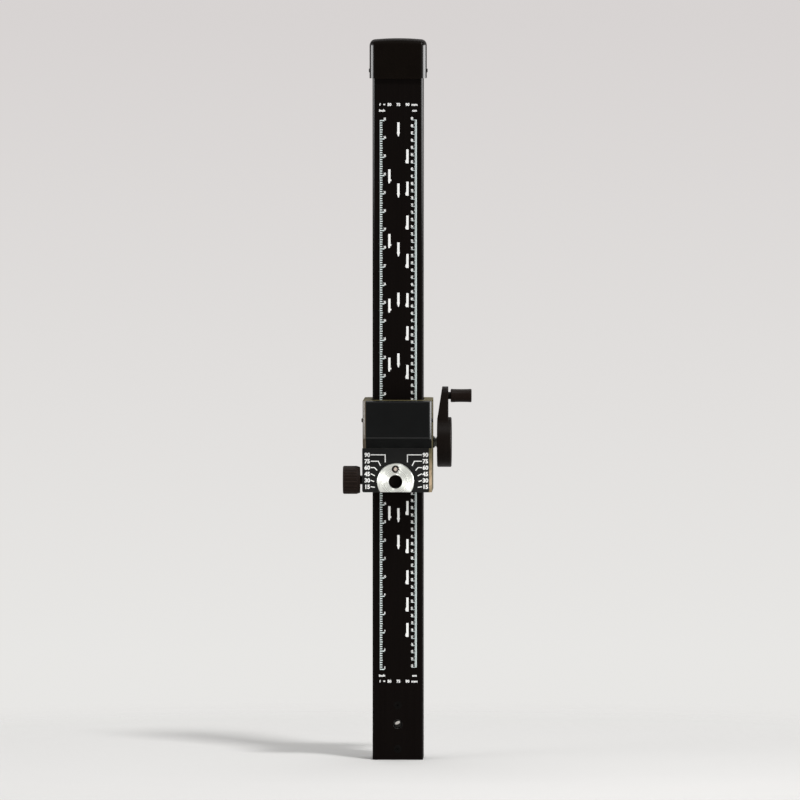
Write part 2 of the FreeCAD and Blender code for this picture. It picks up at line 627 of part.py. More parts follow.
def drum_bracket():
    """Bent sheet bracket on the column's end with two cheeks for the drum axle."""
    top = COLUMN_LENGTH + BRACKET_SHEET
    base_x = COLUMN_SIDE_X - BRACKET_EDGE
    base_y = COLUMN_REAR_Y - BRACKET_EDGE
    shape = rounded_bar(-base_x, base_x, -base_y, base_y, COLUMN_LENGTH, top, BRACKET_EDGE)
    for side in (-1, 1):
        inner = Vector(side * CHEEK_X, DRUM_Y, DRUM_Z)
        outer = Vector(side * (CHEEK_X + BRACKET_SHEET), DRUM_Y, DRUM_Z)
        x0, x1 = sorted((inner.x, outer.x))
        cheek = block(x0, x1, DRUM_Y - CHEEK_HALF_DEPTH, DRUM_Y + CHEEK_HALF_DEPTH, COLUMN_LENGTH, DRUM_Z)
        shape = fused(shape, cheek, rod(CHEEK_HALF_DEPTH, inner, outer))
    hole = PORT_BORE_RADIUS + SCREW_CLEARANCE
    cuts = [rod(hole, Vector(x, y, COLUMN_LENGTH), Vector(x, y, top)) for x, y in PORTS]
    axle_hole = AXLE_RADIUS + RUNNING_CLEARANCE
    cuts.append(rod(axle_hole, Vector(-base_x, DRUM_Y, DRUM_Z), Vector(base_x, DRUM_Y, DRUM_Z)))
    return shape.cut(cuts)


def bracket_screws():
    """Four screws that hold the bracket on the column's screw ports."""
    top = COLUMN_LENGTH + BRACKET_SHEET
    radius = PORT_BORE_RADIUS - SCREW_CLEARANCE
    return [pan_screw(Vector(x, y, top), -Z_AXIS, radius, BRACKET_SCREW_LENGTH, SMALL_SCREW_HEAD_RADIUS,
                      SMALL_SCREW_HEAD_HEIGHT) for x, y in PORTS]


def drum_axle():
    """Fixed pin that carries the spring drum between the cheeks."""
    end_x = CHEEK_X + BRACKET_SHEET + 2 * CLIP_THICKNESS
    return rod(AXLE_RADIUS, Vector(-end_x, DRUM_Y, DRUM_Z), Vector(end_x, DRUM_Y, DRUM_Z))


def axle_clips():
    """Retaining clips at the two ends of the drum axle."""
    x = CHEEK_X + BRACKET_SHEET + SCREW_CLEARANCE
    bore = AXLE_RADIUS + SCREW_CLEARANCE / 2
    return [c_clip(Vector(side * x, DRUM_Y, DRUM_Z), X_AXIS * side, bore, CLIP_RADIUS, CLIP_THICKNESS)
            for side in (-1, 1)]


def spring_drum():
    """Flanged spool that the counterbalance strip winds onto."""
    bore = AXLE_RADIUS + RUNNING_CLEARANCE
    outline = [
        Vector(-DRUM_END_X, DRUM_Y + bore, DRUM_Z),
        Vector(-DRUM_END_X, DRUM_Y + DRUM_FLANGE_RADIUS, DRUM_Z),
        Vector(-DRUM_FLANGE_X, DRUM_Y + DRUM_FLANGE_RADIUS, DRUM_Z),
        Vector(-DRUM_FLANGE_X, DRUM_Y + DRUM_CORE_RADIUS, DRUM_Z),
        Vector(DRUM_FLANGE_X, DRUM_Y + DRUM_CORE_RADIUS, DRUM_Z),
        Vector(DRUM_FLANGE_X, DRUM_Y + DRUM_FLANGE_RADIUS, DRUM_Z),
        Vector(DRUM_END_X, DRUM_Y + DRUM_FLANGE_RADIUS, DRUM_Z),
        Vector(DRUM_END_X, DRUM_Y + bore, DRUM_Z),
    ]
    return turned(outline, Vector(0, DRUM_Y, DRUM_Z), X_AXIS)


def spring_coil():
    """The wound turns of the counterbalance strip on the drum."""
    half = STRIP_WIDTH / 2
    bore = DRUM_CORE_RADIUS + SCREW_CLEARANCE
    return tube(COIL_RADIUS, bore, Vector(-half, DRUM_Y, DRUM_Z), Vector(half, DRUM_Y, DRUM_Z))


def spring_strip():
    """The straight run of the counterbalance strip, from the drum to the carriage."""
    half = STRIP_WIDTH / 2
    strip = block(-half, half, STRIP_FRONT_Y, STRIP_REAR_Y, STRIP_BOTTOM, DRUM_Z)
    return strip.cut([rod(RIVET_RADIUS + SCREW_CLEARANCE, start, end) for start, end in rivet_lines()])


# Strip anchor
def rivet_lines():
    """Start and end of each rivet shank through the strip and the anchor tongue."""
    z = (STRIP_BOTTOM + CARRIAGE_TOP) / 2
    places = (-RIVET_SPACING / 2, RIVET_SPACING / 2)
    return [(Vector(x, STRIP_FRONT_Y, z), Vector(x, WINDOW_REAR_Y, z)) for x in places]


def strip_anchor():
    """Angle bracket on top of the carriage whose tongue reaches into the strip channel."""
    half = ANCHOR_WIDTH / 2
    top = CARRIAGE_TOP + ANCHOR_SHEET
    tongue = block(-half, half, STRIP_REAR_Y, WINDOW_REAR_Y, ANCHOR_BOTTOM, top)
    flange = block(-half, half, STRIP_REAR_Y, WINDOW_REAR_Y + ANCHOR_FLANGE, CARRIAGE_TOP, top)
    cuts = [rod(RIVET_RADIUS + SCREW_CLEARANCE, start, end) for start, end in rivet_lines()]
    hole = SMALL_SCREW_RADIUS + SCREW_CLEARANCE
    cuts += [rod(hole, seat - Z_AXIS * ANCHOR_SHEET, seat) for seat in anchor_seats()]
    return fused(tongue, flange).cut(cuts)


def anchor_seats():
    """Where the two anchor screws' heads sit."""
    y = WINDOW_REAR_Y + ANCHOR_FLANGE / 2
    return [Vector(x, y, CARRIAGE_TOP + ANCHOR_SHEET) for x in (-ANCHOR_WIDTH / 4, ANCHOR_WIDTH / 4)]


def anchor_screws():
    """Two screws that hold the anchor on the carriage."""
    return [pan_screw(seat, -Z_AXIS, SMALL_SCREW_RADIUS, SMALL_SCREW_LENGTH, SMALL_SCREW_HEAD_RADIUS,
                      SMALL_SCREW_HEAD_HEIGHT) for seat in anchor_seats()]


def strip_rivets():
    """Two rivets that hold the strip on the anchor tongue."""
    return [fused(rod(RIVET_RADIUS, start, end), rod(RIVET_HEAD_RADIUS, start - Y_AXIS * RIVET_HEAD, start))
            for start, end in rivet_lines()]


# Carriage housing
def carriage_outline():
    """The carriage's plan as a solid: round rear corners, a chamfer at the front right."""
    shape = block(-CARRIAGE_SIDE_X, CARRIAGE_SIDE_X, CARRIAGE_FRONT_Y, CARRIAGE_REAR_Y,
                  CARRIAGE_BOTTOM, CARRIAGE_TOP)
    rear = [e for e in upright_edges(shape) if e.CenterOfMass.y > 0]
    shape = shape.makeFillet(REAR_CORNER_RADIUS, rear)
    front = [e for e in upright_edges(shape) if e.CenterOfMass.y < CARRIAGE_FRONT_Y + FIND_TOLERANCE]
    left = [e for e in front if e.CenterOfMass.x < 0]
    shape = shape.makeFillet(FRONT_LEFT_RADIUS, left)
    corner = [
        Vector(CARRIAGE_SIDE_X - FRONT_RIGHT_CHAMFER, CARRIAGE_FRONT_Y, CARRIAGE_BOTTOM),
        Vector(CARRIAGE_SIDE_X, CARRIAGE_FRONT_Y, CARRIAGE_BOTTOM),
        Vector(CARRIAGE_SIDE_X, CARRIAGE_FRONT_Y + FRONT_RIGHT_CHAMFER, CARRIAGE_BOTTOM),
    ]
    return shape.cut(prism(corner, Z_AXIS * (COVER_BOTTOM - CARRIAGE_BOTTOM)))


def carriage_body():
    """Cast housing round the column: two collars, a gear bay behind and the head bearing in front."""
    shell = carriage_outline()
    bay_x = CARRIAGE_SIDE_X - CARRIAGE_WALL
    inside = block(-bay_x, bay_x, CARRIAGE_FRONT_Y + CARRIAGE_WALL, CARRIAGE_REAR_Y - CARRIAGE_WALL,
                   CARRIAGE_BOTTOM + COLLAR_HEIGHT, CARRIAGE_TOP - COLLAR_HEIGHT)
    shell = shell.cut(inside)
    hub_boss = rod(HUB_BOSS_RADIUS, head_point(CARRIAGE_FRONT_Y), head_point(HUB_BOSS_REAR_Y))
    hub_boss = hub_boss.common(carriage_outline())
    clamp_boss = rod(CLAMP_BOSS_RADIUS, clamp_point(-CARRIAGE_SIDE_X), clamp_point(HEAD_AXIS_X))
    shaft_boss = rod(SHAFT_BOSS_RADIUS, crank_point(SHAFT_BOSS_X), crank_point(CARRIAGE_SIDE_X))
    boss_web = block(SHAFT_BOSS_X, CARRIAGE_SIDE_X, CRANK_Y, CARRIAGE_REAR_Y - CARRIAGE_WALL,
                     CRANK_Z - CARRIAGE_WALL / 2, CRANK_Z + CARRIAGE_WALL / 2)
    shell = fused(shell, hub_boss, clamp_boss, shaft_boss, boss_web, *axle_lugs(), *cover_lugs())
    return shell.cut(carriage_cuts())


def carriage_cuts():
    """Every opening and hole in the carriage housing."""
    low = CARRIAGE_BOTTOM
    high = CARRIAGE_TOP
    notch_half = RACK_WIDTH / 2 + RACK_NOTCH_ROOM
    notch_y = RACK_PITCH_Y + ADDENDUM + RACK_NOTCH_ROOM
    window_z = CRANK_Z - SERVICE_WINDOW_HEIGHT / 2
    window_half = FRONT_WINDOW_HEIGHT / 2
    cuts = [
        block(-WINDOW_X, WINDOW_X, WINDOW_FRONT_Y, WINDOW_REAR_Y, low, high),
        block(RACK_X - notch_half, RACK_X + notch_half, 0, notch_y, low, high),
        block(-SERVICE_WINDOW_HALF_WIDTH, SERVICE_WINDOW_HALF_WIDTH, CARRIAGE_REAR_Y - CARRIAGE_WALL,
              CARRIAGE_REAR_Y, window_z, window_z + SERVICE_WINDOW_HEIGHT),
        block(-FRONT_WINDOW_X, FRONT_WINDOW_X, CARRIAGE_FRONT_Y, CARRIAGE_FRONT_Y + CARRIAGE_WALL,
              ROLLER_Z - window_half, ROLLER_Z + window_half),
        rod(HUB_RADIUS + RUNNING_CLEARANCE, head_point(CARRIAGE_FRONT_Y), head_point(HUB_BOSS_REAR_Y)),
        rod(RING_RADIUS + RING_ROOM, head_point(HUB_BOSS_REAR_Y), head_point(WINDOW_FRONT_Y)),
        rod(CLAMP_SPINDLE_RADIUS + RUNNING_CLEARANCE, clamp_point(-CARRIAGE_SIDE_X),
            clamp_point(HEAD_AXIS_X)),
        rod(BUSH_RADIUS, crank_point(SHAFT_BOSS_X), crank_point(CARRIAGE_SIDE_X)),
    ]
    slot = ROLLER_AXLE_RADIUS + RUNNING_CLEARANCE
    cuts.append(rod(slot, roller_point(-FRONT_WINDOW_X), roller_point(FRONT_WINDOW_X)))
    cuts.append(block(-FRONT_WINDOW_X, FRONT_WINDOW_X, CARRIAGE_FRONT_Y, ROLLER_Y,
                      ROLLER_Z - slot, ROLLER_Z + slot))
    hole = SMALL_SCREW_RADIUS + SCREW_CLEARANCE
    screws = [(seat, -Z_AXIS) for seat in anchor_seats()] + [(seat, -Y_AXIS) for seat in rear_cover_seats()]
    screws += [(seat, Y_AXIS) for seat in leaf_seats()] + cover_screw_seats()
    depth = SMALL_SCREW_LENGTH + SCREW_CLEARANCE
    cuts += [rod(hole, seat, seat + inward * depth) for seat, inward in screws]
    for base, outward, lower in glide_places():
        peg = GLIDE_PEG_LENGTH + SCREW_CLEARANCE
        cuts.append(rod(GLIDE_PEG_RADIUS + SCREW_CLEARANCE, base, base + outward * peg))
    return cuts


def axle_lugs():
    """Two slotted lugs behind the front wall that carry the roller axle."""
    half = (LUG_HEIGHT + FRONT_WINDOW_HEIGHT) / 2
    rear_y = WINDOW_FRONT_Y - GUIDE_GAP
    lugs = []
    for side in (-1, 1):
        x0, x1 = sorted((side * LUG_X, side * (LUG_X + LUG_THICKNESS)))
        lugs.append(block(x0, x1, CARRIAGE_FRONT_Y, rear_y, ROLLER_Z - half, ROLLER_Z + half))
    return lugs


def rear_cover_seats():
    """Where the four rear cover screws' heads sit."""
    half_x = SERVICE_WINDOW_HALF_WIDTH + REAR_COVER_LAP / 2
    half_z = SERVICE_WINDOW_HEIGHT / 2 + REAR_COVER_LAP / 2
    y = CARRIAGE_REAR_Y + REAR_COVER_THICKNESS
    return [Vector(x, y, CRANK_Z + z) for x in (-half_x, half_x) for z in (-half_z, half_z)]


def rear_cover():
    """Flat cover over the gear bay's service window."""
    half_x = SERVICE_WINDOW_HALF_WIDTH + REAR_COVER_LAP
    half_z = SERVICE_WINDOW_HEIGHT / 2 + REAR_COVER_LAP
    rear_y = CARRIAGE_REAR_Y + REAR_COVER_THICKNESS
    plate = block(-half_x, half_x, CARRIAGE_REAR_Y, rear_y, CRANK_Z - half_z, CRANK_Z + half_z)
    plate = plate.makeFillet(REAR_COVER_CORNER, level_edges(plate))
    hole = SMALL_SCREW_RADIUS + SCREW_CLEARANCE
    return plate.cut([rod(hole, seat - Y_AXIS * REAR_COVER_THICKNESS, seat) for seat in rear_cover_seats()])


def rear_cover_screws():
    """Four screws that hold the rear cover."""
    return [pan_screw(seat, -Y_AXIS, SMALL_SCREW_RADIUS, SMALL_SCREW_LENGTH, SMALL_SCREW_HEAD_RADIUS,
                      SMALL_SCREW_HEAD_HEIGHT) for seat in rear_cover_seats()]


# Glide pads
def glide_places():
    """Each pad's seat on a collar, the way into the collar and whether it is on the lower collar."""
    edge_x = COLUMN_SIDE_X - GLIDE_EDGE
    places = []
    for lower in (False, True):
        z = CARRIAGE_BOTTOM + COLLAR_HEIGHT / 2 if lower else CARRIAGE_TOP - COLLAR_HEIGHT / 2
        places.append((Vector(-edge_x, WINDOW_REAR_Y, z), Y_AXIS, lower))
        for side in (-1, 1):
            places.append((Vector(side * edge_x, WINDOW_FRONT_Y, z), -Y_AXIS, lower))
            for y in (-SIDE_GLIDE_SPREAD, SIDE_GLIDE_SPREAD):
                places.append((Vector(side * WINDOW_X, y, z), X_AXIS * side, lower))
    return places


def glides(lower):
    """The low-friction pads of one collar, each pegged into it."""
    thickness = GUIDE_GAP - GLIDE_GAP
    pads = []
    for base, outward, is_lower in glide_places():
        if is_lower != lower:
            continue
        inner = base - outward * thickness
        across = outward.cross(Z_AXIS) * (GLIDE_WIDTH / 2)
        up = Z_AXIS * (GLIDE_HEIGHT / 2)
        corners = [inner - across - up, inner + across - up, inner + across + up, inner - across + up]
        pad = prism(corners, outward * thickness)
        pads.append(fused(pad, rod(GLIDE_PEG_RADIUS, base, base + outward * GLIDE_PEG_LENGTH)))
    return pads


def upper_glides():
    """Pads in the upper collar."""
    return glides(False)


def lower_glides():
    """Pads in the lower collar."""
    return glides(True)


# Front rollers and their spring
def roller_point(x):
    """A point on the front rollers' axis."""
    return Vector(x, ROLLER_Y, ROLLER_Z)


def front_rollers():
    """Two rollers that run on the column's front face beside the scale."""
    bore = ROLLER_AXLE_RADIUS + RUNNING_CLEARANCE
    return [tube(ROLLER_RADIUS, bore, roller_point(side * ROLLER_INNER_X),
                 roller_point(side * ROLLER_OUTER_X)) for side in (-1, 1)]


def roller_axle():
    """Shouldered axle that carries both front rollers."""
    waist_x = ROLLER_INNER_X - ROLLER_SIDE_ROOM
    ends = rod(ROLLER_AXLE_RADIUS, roller_point(-ROLLER_AXLE_X), roller_point(ROLLER_AXLE_X))
    waist = rod(ROLLER_AXLE_WAIST, roller_point(-waist_x), roller_point(waist_x))
    return fused(ends, waist)


def leaf_seats():
    """Where the two leaf spring screws' heads sit, in front of the leaf's flange."""
    z = ROLLER_Z + FRONT_WINDOW_HEIGHT / 2 + LEAF_FLANGE / 2
    y = CARRIAGE_FRONT_Y - LEAF_THICKNESS
    return [Vector(x, y, z) for x in (-FRONT_WINDOW_X / 2, FRONT_WINDOW_X / 2)]


def pressure_leaf():
    """Stamped leaf spring whose two fingers press the roller axle towards the column."""
    flange_z = ROLLER_Z + FRONT_WINDOW_HEIGHT / 2
    y = CARRIAGE_FRONT_Y - LEAF_THICKNESS
    flange = block(-FRONT_WINDOW_X, FRONT_WINDOW_X, y, CARRIAGE_FRONT_Y, flange_z, flange_z + LEAF_FLANGE)
    tip_y = ROLLER_Y - ROLLER_AXLE_WAIST - SCREW_CLEARANCE
    finger_x = ROLLER_INNER_X - 2 * LEAF_FINGER_WIDTH
    shape = flange
    for side in (-1, 1):
        x = min(side * finger_x, side * (finger_x + LEAF_FINGER_WIDTH))
        outline = [
            Vector(x, y, flange_z),
            Vector(x, tip_y - LEAF_THICKNESS, ROLLER_Z),
            Vector(x, tip_y - LEAF_THICKNESS, ROLLER_Z - ROLLER_AXLE_RADIUS),
            Vector(x, tip_y, ROLLER_Z - ROLLER_AXLE_RADIUS),
            Vector(x, tip_y, ROLLER_Z),
            Vector(x, CARRIAGE_FRONT_Y, flange_z),
        ]
        shape = fused(shape, prism(outline, X_AXIS * LEAF_FINGER_WIDTH))
    hole = SMALL_SCREW_RADIUS + SCREW_CLEARANCE
    return shape.cut([rod(hole, seat, seat + Y_AXIS * LEAF_THICKNESS) for seat in leaf_seats()])


def pressure_screws():
    """Two screws that hold the leaf spring."""
    return [pan_screw(seat, Y_AXIS, SMALL_SCREW_RADIUS, CARRIAGE_WALL, SMALL_SCREW_HEAD_RADIUS,
                      SMALL_SCREW_HEAD_HEIGHT) for seat in leaf_seats()]


# Front cover and angle plate
def cover_profile(lip, side_x, front_y, nose_z, top):
    """The cover's side outline pushed across its width, from the lip round the nose to the top."""
    outline = [Vector(-side_x, y, z) for y, z in lip]
    outline += [Vector(-side_x, front_y, nose_z), Vector(-side_x, front_y, top)]
    outline.append(Vector(-side_x, CARRIAGE_FRONT_Y, top))
    return prism(outline, X_AXIS * (2 * side_x))


def cover_outside():
    """The cover's outside before its edges are rounded."""
    lip = [(CARRIAGE_FRONT_Y, COVER_BOTTOM), (PLATE_FRONT_Y, COVER_BOTTOM)]
    return cover_profile(lip, CARRIAGE_SIDE_X, COVER_FRONT_Y, COVER_BOTTOM + COVER_SLOPE_HEIGHT, CARRIAGE_TOP)


def cover_inside():
    """The hollow of the cover, one wall inside every outer face."""
    slope = COVER_SLOPE_HEIGHT / (PLATE_FRONT_Y - COVER_FRONT_Y)
    lift = COVER_WALL * math.sqrt(1 + slope ** 2)
    front_y = COVER_FRONT_Y + COVER_WALL
    lip_z = COVER_BOTTOM + lift + slope * (PLATE_FRONT_Y - CARRIAGE_FRONT_Y)
    nose_z = COVER_BOTTOM + lift + slope * (PLATE_FRONT_Y - front_y)
    lip = [(CARRIAGE_FRONT_Y, lip_z)]
    return cover_profile(lip, CARRIAGE_SIDE_X - COVER_WALL, front_y, nose_z, CARRIAGE_TOP - COVER_WALL)


def cover_front_edges(profile):
    """The long edges that run across the cover's front face."""
    across = [e for e in profile.Edges if e.BoundBox.XLength > COVER_REACH]
    return [e for e in across if e.CenterOfMass.y < COVER_FRONT_Y + FIND_TOLERANCE]


def front_cover():
    """Moulded cover with rounded edges and a sloping underside, open towards the carriage."""
    profile = cover_outside()
    nose = [e for e in cover_front_edges(profile) if e.CenterOfMass.z < CARRIAGE_TOP - FIND_TOLERANCE]
    profile = profile.makeFillet(COVER_NOSE_RADIUS, nose)
    brow = [e for e in cover_front_edges(profile) if e.CenterOfMass.z > CARRIAGE_TOP - FIND_TOLERANCE]
    profile = profile.makeFillet(COVER_TOP_RADIUS, brow)
    plan = block(-CARRIAGE_SIDE_X, CARRIAGE_SIDE_X, COVER_FRONT_Y, CARRIAGE_FRONT_Y,
                 COVER_BOTTOM, CARRIAGE_TOP)
    corners = [e for e in upright_edges(plan) if e.CenterOfMass.y < COVER_FRONT_Y + FIND_TOLERANCE]
    plan = plan.makeFillet(COVER_SIDE_RADIUS, corners)
    shape = plan.common(profile).cut(cover_inside())
    hole = SMALL_SCREW_RADIUS + SCREW_CLEARANCE
    return shape.cut([rod(hole, seat, seat + inward * COVER_WALL) for seat, inward in cover_screw_seats()])


def cover_screw_seats():
    """Where the two cover screws' heads sit, and the way they point."""
    y = CARRIAGE_FRONT_Y - COVER_SCREW_SETBACK
    z = CARRIAGE_TOP - COVER_SCREW_DROP
    return [(Vector(side * CARRIAGE_SIDE_X, y, z), X_AXIS * -side) for side in (-1, 1)]


def cover_screws():
    """Two side screws that hold the front cover on the carriage lugs."""
    return [pan_screw(seat, inward, SMALL_SCREW_RADIUS, SMALL_SCREW_LENGTH, SMALL_SCREW_HEAD_RADIUS,
                      SMALL_SCREW_HEAD_HEIGHT) for seat, inward in cover_screw_seats()]


def cover_lugs():
    """Two lugs on the carriage's front wall that the cover screws go into."""
    half = COVER_LUG / 2
    lugs = []
    for seat, inward in cover_screw_seats():
        outer = seat + inward * (COVER_WALL + SCREW_CLEARANCE)
        inner = outer + inward * COVER_LUG
        lugs.append(block(min(outer.x, inner.x), max(outer.x, inner.x), seat.y - half, CARRIAGE_FRONT_Y,
                          seat.z - half, seat.z + half))
    return lugs


def angle_plate():
    """Flat plate under the cover that carries the tilt scale."""
    plate = block(PLATE_LEFT_X, PLATE_LEFT_X + PLATE_WIDTH, PLATE_FRONT_Y, CARRIAGE_FRONT_Y,
                  CARRIAGE_BOTTOM, PLATE_TOP)
    lower = [e for e in level_edges(plate) if e.CenterOfMass.z < CARRIAGE_BOTTOM + FIND_TOLERANCE]
    plate = plate.makeFillet(PLATE_CORNER, lower)
    return plate.cut(rod(HUB_RADIUS + DISC_GAP, head_point(PLATE_FRONT_Y), head_point(CARRIAGE_FRONT_Y)))


# Tilting head seat
def head_point(y, z=0.0):
    """A point at a depth and a height above the tilt axis."""
    return Vector(HEAD_AXIS_X, y, HEAD_Z + z)


def tilt_disc():
    """Turned seat for the head: a flanged hub with a flat below, a bore and an index hole."""
    flange = rod(DISC_RADIUS, head_point(DISC_FRONT_Y), head_point(DISC_REAR_Y))
    flat = block(HEAD_AXIS_X - DISC_RADIUS, HEAD_AXIS_X + DISC_RADIUS, DISC_FRONT_Y, DISC_REAR_Y,
                 HEAD_Z - DISC_RADIUS, HEAD_Z - DISC_FLAT)
    flange = flange.cut(flat)
    front = [e for e in flange.Edges if e.BoundBox.YLength < FLAT_TOLERANCE]
    rim = [e for e in front if e.CenterOfMass.y < DISC_FRONT_Y + FIND_TOLERANCE]
    flange = flange.makeChamfer(DISC_CHAMFER, rim)
    hub = rod(HUB_RADIUS, head_point(DISC_REAR_Y), head_point(HUB_REAR_Y))
    groove = tube(HUB_RADIUS, HUB_RADIUS - RING_THICKNESS, head_point(RING_FRONT_Y),
                  head_point(RING_FRONT_Y + RING_THICKNESS))
    bore = rod(HEAD_BORE_RADIUS, head_point(DISC_FRONT_Y), head_point(DISC_FRONT_Y + HEAD_BORE_DEPTH))
    index_floor = DISC_FRONT_Y + INDEX_HOLE_DEPTH
    index_seat = head_point(index_floor, INDEX_RADIUS)
    index_hole = rod(INDEX_HOLE_RADIUS, head_point(DISC_FRONT_Y, INDEX_RADIUS), index_seat)
    index_thread = rod(INDEX_SCREW_RADIUS + SCREW_CLEARANCE, index_seat,
                       index_seat + Y_AXIS * (INDEX_SCREW_LENGTH + SCREW_CLEARANCE))
    return fused(flange, hub).cut([groove, bore, index_hole, index_thread])


def index_screw():
    """Small brass screw at the bottom of the disc's index hole."""
    seat = head_point(DISC_FRONT_Y + INDEX_HOLE_DEPTH, INDEX_RADIUS)
    return pan_screw(seat, Y_AXIS, INDEX_SCREW_RADIUS, INDEX_SCREW_LENGTH, INDEX_HEAD_RADIUS,
                     INDEX_HEAD_HEIGHT)


def hub_ring():
    """Retaining ring in the hub's groove, behind the carriage boss."""
    bore = HUB_RADIUS - RING_THICKNESS + SCREW_CLEARANCE
    thickness = RING_THICKNESS - 2 * SCREW_CLEARANCE
    return c_clip(head_point(RING_FRONT_Y + SCREW_CLEARANCE), Y_AXIS, bore, RING_RADIUS, thickness)


# Tilt clamp
def clamp_point(x):
    """A point on the clamp's axis."""
    return Vector(x, CLAMP_Y, CLAMP_Z)


def clamp_knob():
    """Fluted hand knob on the clamp spindle."""
    taper_x = KNOB_INNER_X - KNOB_TAPER_LENGTH
    neck_x = KNOB_INNER_X + CLAMP_NECK_LENGTH
    outline = [
        clamp_point(KNOB_OUTER_X + KNOB_FACE_RECESS),
        clamp_point(KNOB_OUTER_X + KNOB_FACE_RECESS) + Z_AXIS * (KNOB_RADIUS - KNOB_RIM - KNOB_FACE_RECESS),
        clamp_point(KNOB_OUTER_X) + Z_AXIS * (KNOB_RADIUS - KNOB_RIM),
        clamp_point(KNOB_OUTER_X) + Z_AXIS * (KNOB_RADIUS - KNOB_CHAMFER),
        clamp_point(KNOB_OUTER_X + KNOB_CHAMFER) + Z_AXIS * KNOB_RADIUS,
        clamp_point(taper_x) + Z_AXIS * KNOB_RADIUS,
        clamp_point(KNOB_INNER_X) + Z_AXIS * (KNOB_RADIUS - KNOB_INNER_TAPER),
        clamp_point(KNOB_INNER_X) + Z_AXIS * CLAMP_NECK_RADIUS,
        clamp_point(neck_x) + Z_AXIS * CLAMP_NECK_RADIUS,
        clamp_point(neck_x),
    ]
    knob = turned(outline, clamp_point(0), X_AXIS)
    reach = KNOB_RADIUS + KNOB_FLUTE_RADIUS - KNOB_FLUTE_DEPTH
    cuts = []
    for flute in range(KNOB_FLUTES):
        turn = 2 * math.pi * flute / KNOB_FLUTES
        offset = Vector(0, reach * math.cos(turn), reach * math.sin(turn))
        start = clamp_point(KNOB_OUTER_X) + offset
        cuts.append(rod(KNOB_FLUTE_RADIUS, start, start + X_AXIS * KNOB_LENGTH))
    cuts.append(rod(CLAMP_SPINDLE_RADIUS, clamp_point(neck_x - KNOB_SOCKET_DEPTH), clamp_point(neck_x)))
    return knob.cut(cuts)


def clamp_spindle():
    """Threaded spindle that drives the clamp shoe, moulded into the knob."""
    start_x = KNOB_INNER_X + CLAMP_NECK_LENGTH - KNOB_SOCKET_DEPTH
    return rod(CLAMP_SPINDLE_RADIUS, clamp_point(start_x), clamp_point(CLAMP_SPINDLE_X))


def clamp_shoe():
    """Brass shoe with a hollowed end that bears on the head seat's hub."""
    start = clamp_point(CLAMP_SHOE_X - CLAMP_SHOE_LENGTH)
    shoe = rod(CLAMP_SPINDLE_RADIUS, start, clamp_point(HEAD_AXIS_X))
    hub = rod(HUB_RADIUS + CLAMP_SHOE_GAP, head_point(CARRIAGE_FRONT_Y), head_point(HUB_BOSS_REAR_Y))
    return shoe.cut(hub)


# Crank drive
def crank_point(x, y=0.0, z=0.0):
    """A point along the crank axis, moved sideways and up from it."""
    return Vector(x, CRANK_Y + y, CRANK_Z + z)


def pinion_outline():
    """The pinion's involute tooth outline, with one tooth pointing at the rack."""
    base_radius = PITCH_RADIUS * math.cos(PRESSURE_ANGLE)
    root_radius = PITCH_RADIUS - DEDENDUM
    half_tooth = (GEAR_PITCH - BACKLASH) / (4 * PITCH_RADIUS)
    involute_at_pitch = math.tan(PRESSURE_ANGLE) - PRESSURE_ANGLE
    flank = [(root_radius, half_tooth + involute_at_pitch)]
    for step in range(FLANK_POINTS):
        radius = base_radius + (PINION_TIP_RADIUS - base_radius) * step / (FLANK_POINTS - 1)
        roll = math.acos(min(1.0, base_radius / radius))
        flank.append((radius, half_tooth + involute_at_pitch - (math.tan(roll) - roll)))
    points = []
    for tooth in range(PINION_TEETH):
        middle = math.pi + 2 * math.pi * tooth / PINION_TEETH
        points += [(radius, middle - angle) for radius, angle in flank]
        points += [(radius, middle + angle) for radius, angle in reversed(flank)]
    return [crank_point(PINION_INNER_X, r * math.cos(a), r * math.sin(a)) for r, a in points]


def pinion():
    """Spur pinion with a pinned hub."""
    gear = prism(pinion_outline(), X_AXIS * PINION_WIDTH)
    hub = rod(PINION_HUB_RADIUS, crank_point(PINION_OUTER_X), crank_point(PINION_OUTER_X + PINION_HUB_LENGTH))
    bore = rod(SHAFT_RADIUS + SCREW_CLEARANCE, crank_point(PINION_INNER_X),
               crank_point(PINION_OUTER_X + PINION_HUB_LENGTH))
    return fused(gear, hub).cut([bore, pin_line(SCREW_CLEARANCE)])


def pin_line(room):
    """The cross pin through the pinion's hub and the shaft, or its hole when there is room round it."""
    x = PINION_OUTER_X + PINION_HUB_LENGTH / 2
    half = PINION_HUB_RADIUS
    return rod(PIN_RADIUS + room, crank_point(x, 0, -half), crank_point(x, 0, half))


def pinion_pin():
    """Cross pin that locks the pinion to the shaft."""
    return pin_line(0)


def crank_shaft():
    """Drive shaft from the pinion to the crank, with a flat for the crank."""
    shaft = rod(SHAFT_RADIUS, crank_point(PINION_INNER_X - SHAFT_INNER_END), crank_point(shaft_end_x()))
    flat = block(CRANK_BACK_X, shaft_end_x(), CRANK_Y - SHAFT_RADIUS, CRANK_Y + SHAFT_RADIUS,
                 CRANK_Z + SHAFT_FLAT_HEIGHT, CRANK_Z + SHAFT_RADIUS)
    thread = rod(CRANK_SCREW_RADIUS + SCREW_CLEARANCE, crank_point(shaft_end_x() - CRANK_SCREW_LENGTH),
                 crank_point(shaft_end_x()))
    clip_groove = tube(SHAFT_RADIUS, SHAFT_RADIUS - CLIP_THICKNESS, crank_point(shaft_clip_x()),
                       crank_point(shaft_clip_x() + CLIP_THICKNESS))
    return shaft.cut([flat, thread, pin_line(SCREW_CLEARANCE), clip_groove])


def shaft_end_x():
    """Where the shaft ends inside the crank's hub."""
    return CRANK_FACE_X - CRANK_DISH_DEPTH - CRANK_WEB


def shaft_clip_x():
    """Where the shaft's inner retaining clip starts."""
    return PINION_INNER_X - SHAFT_CLIP_SETBACK


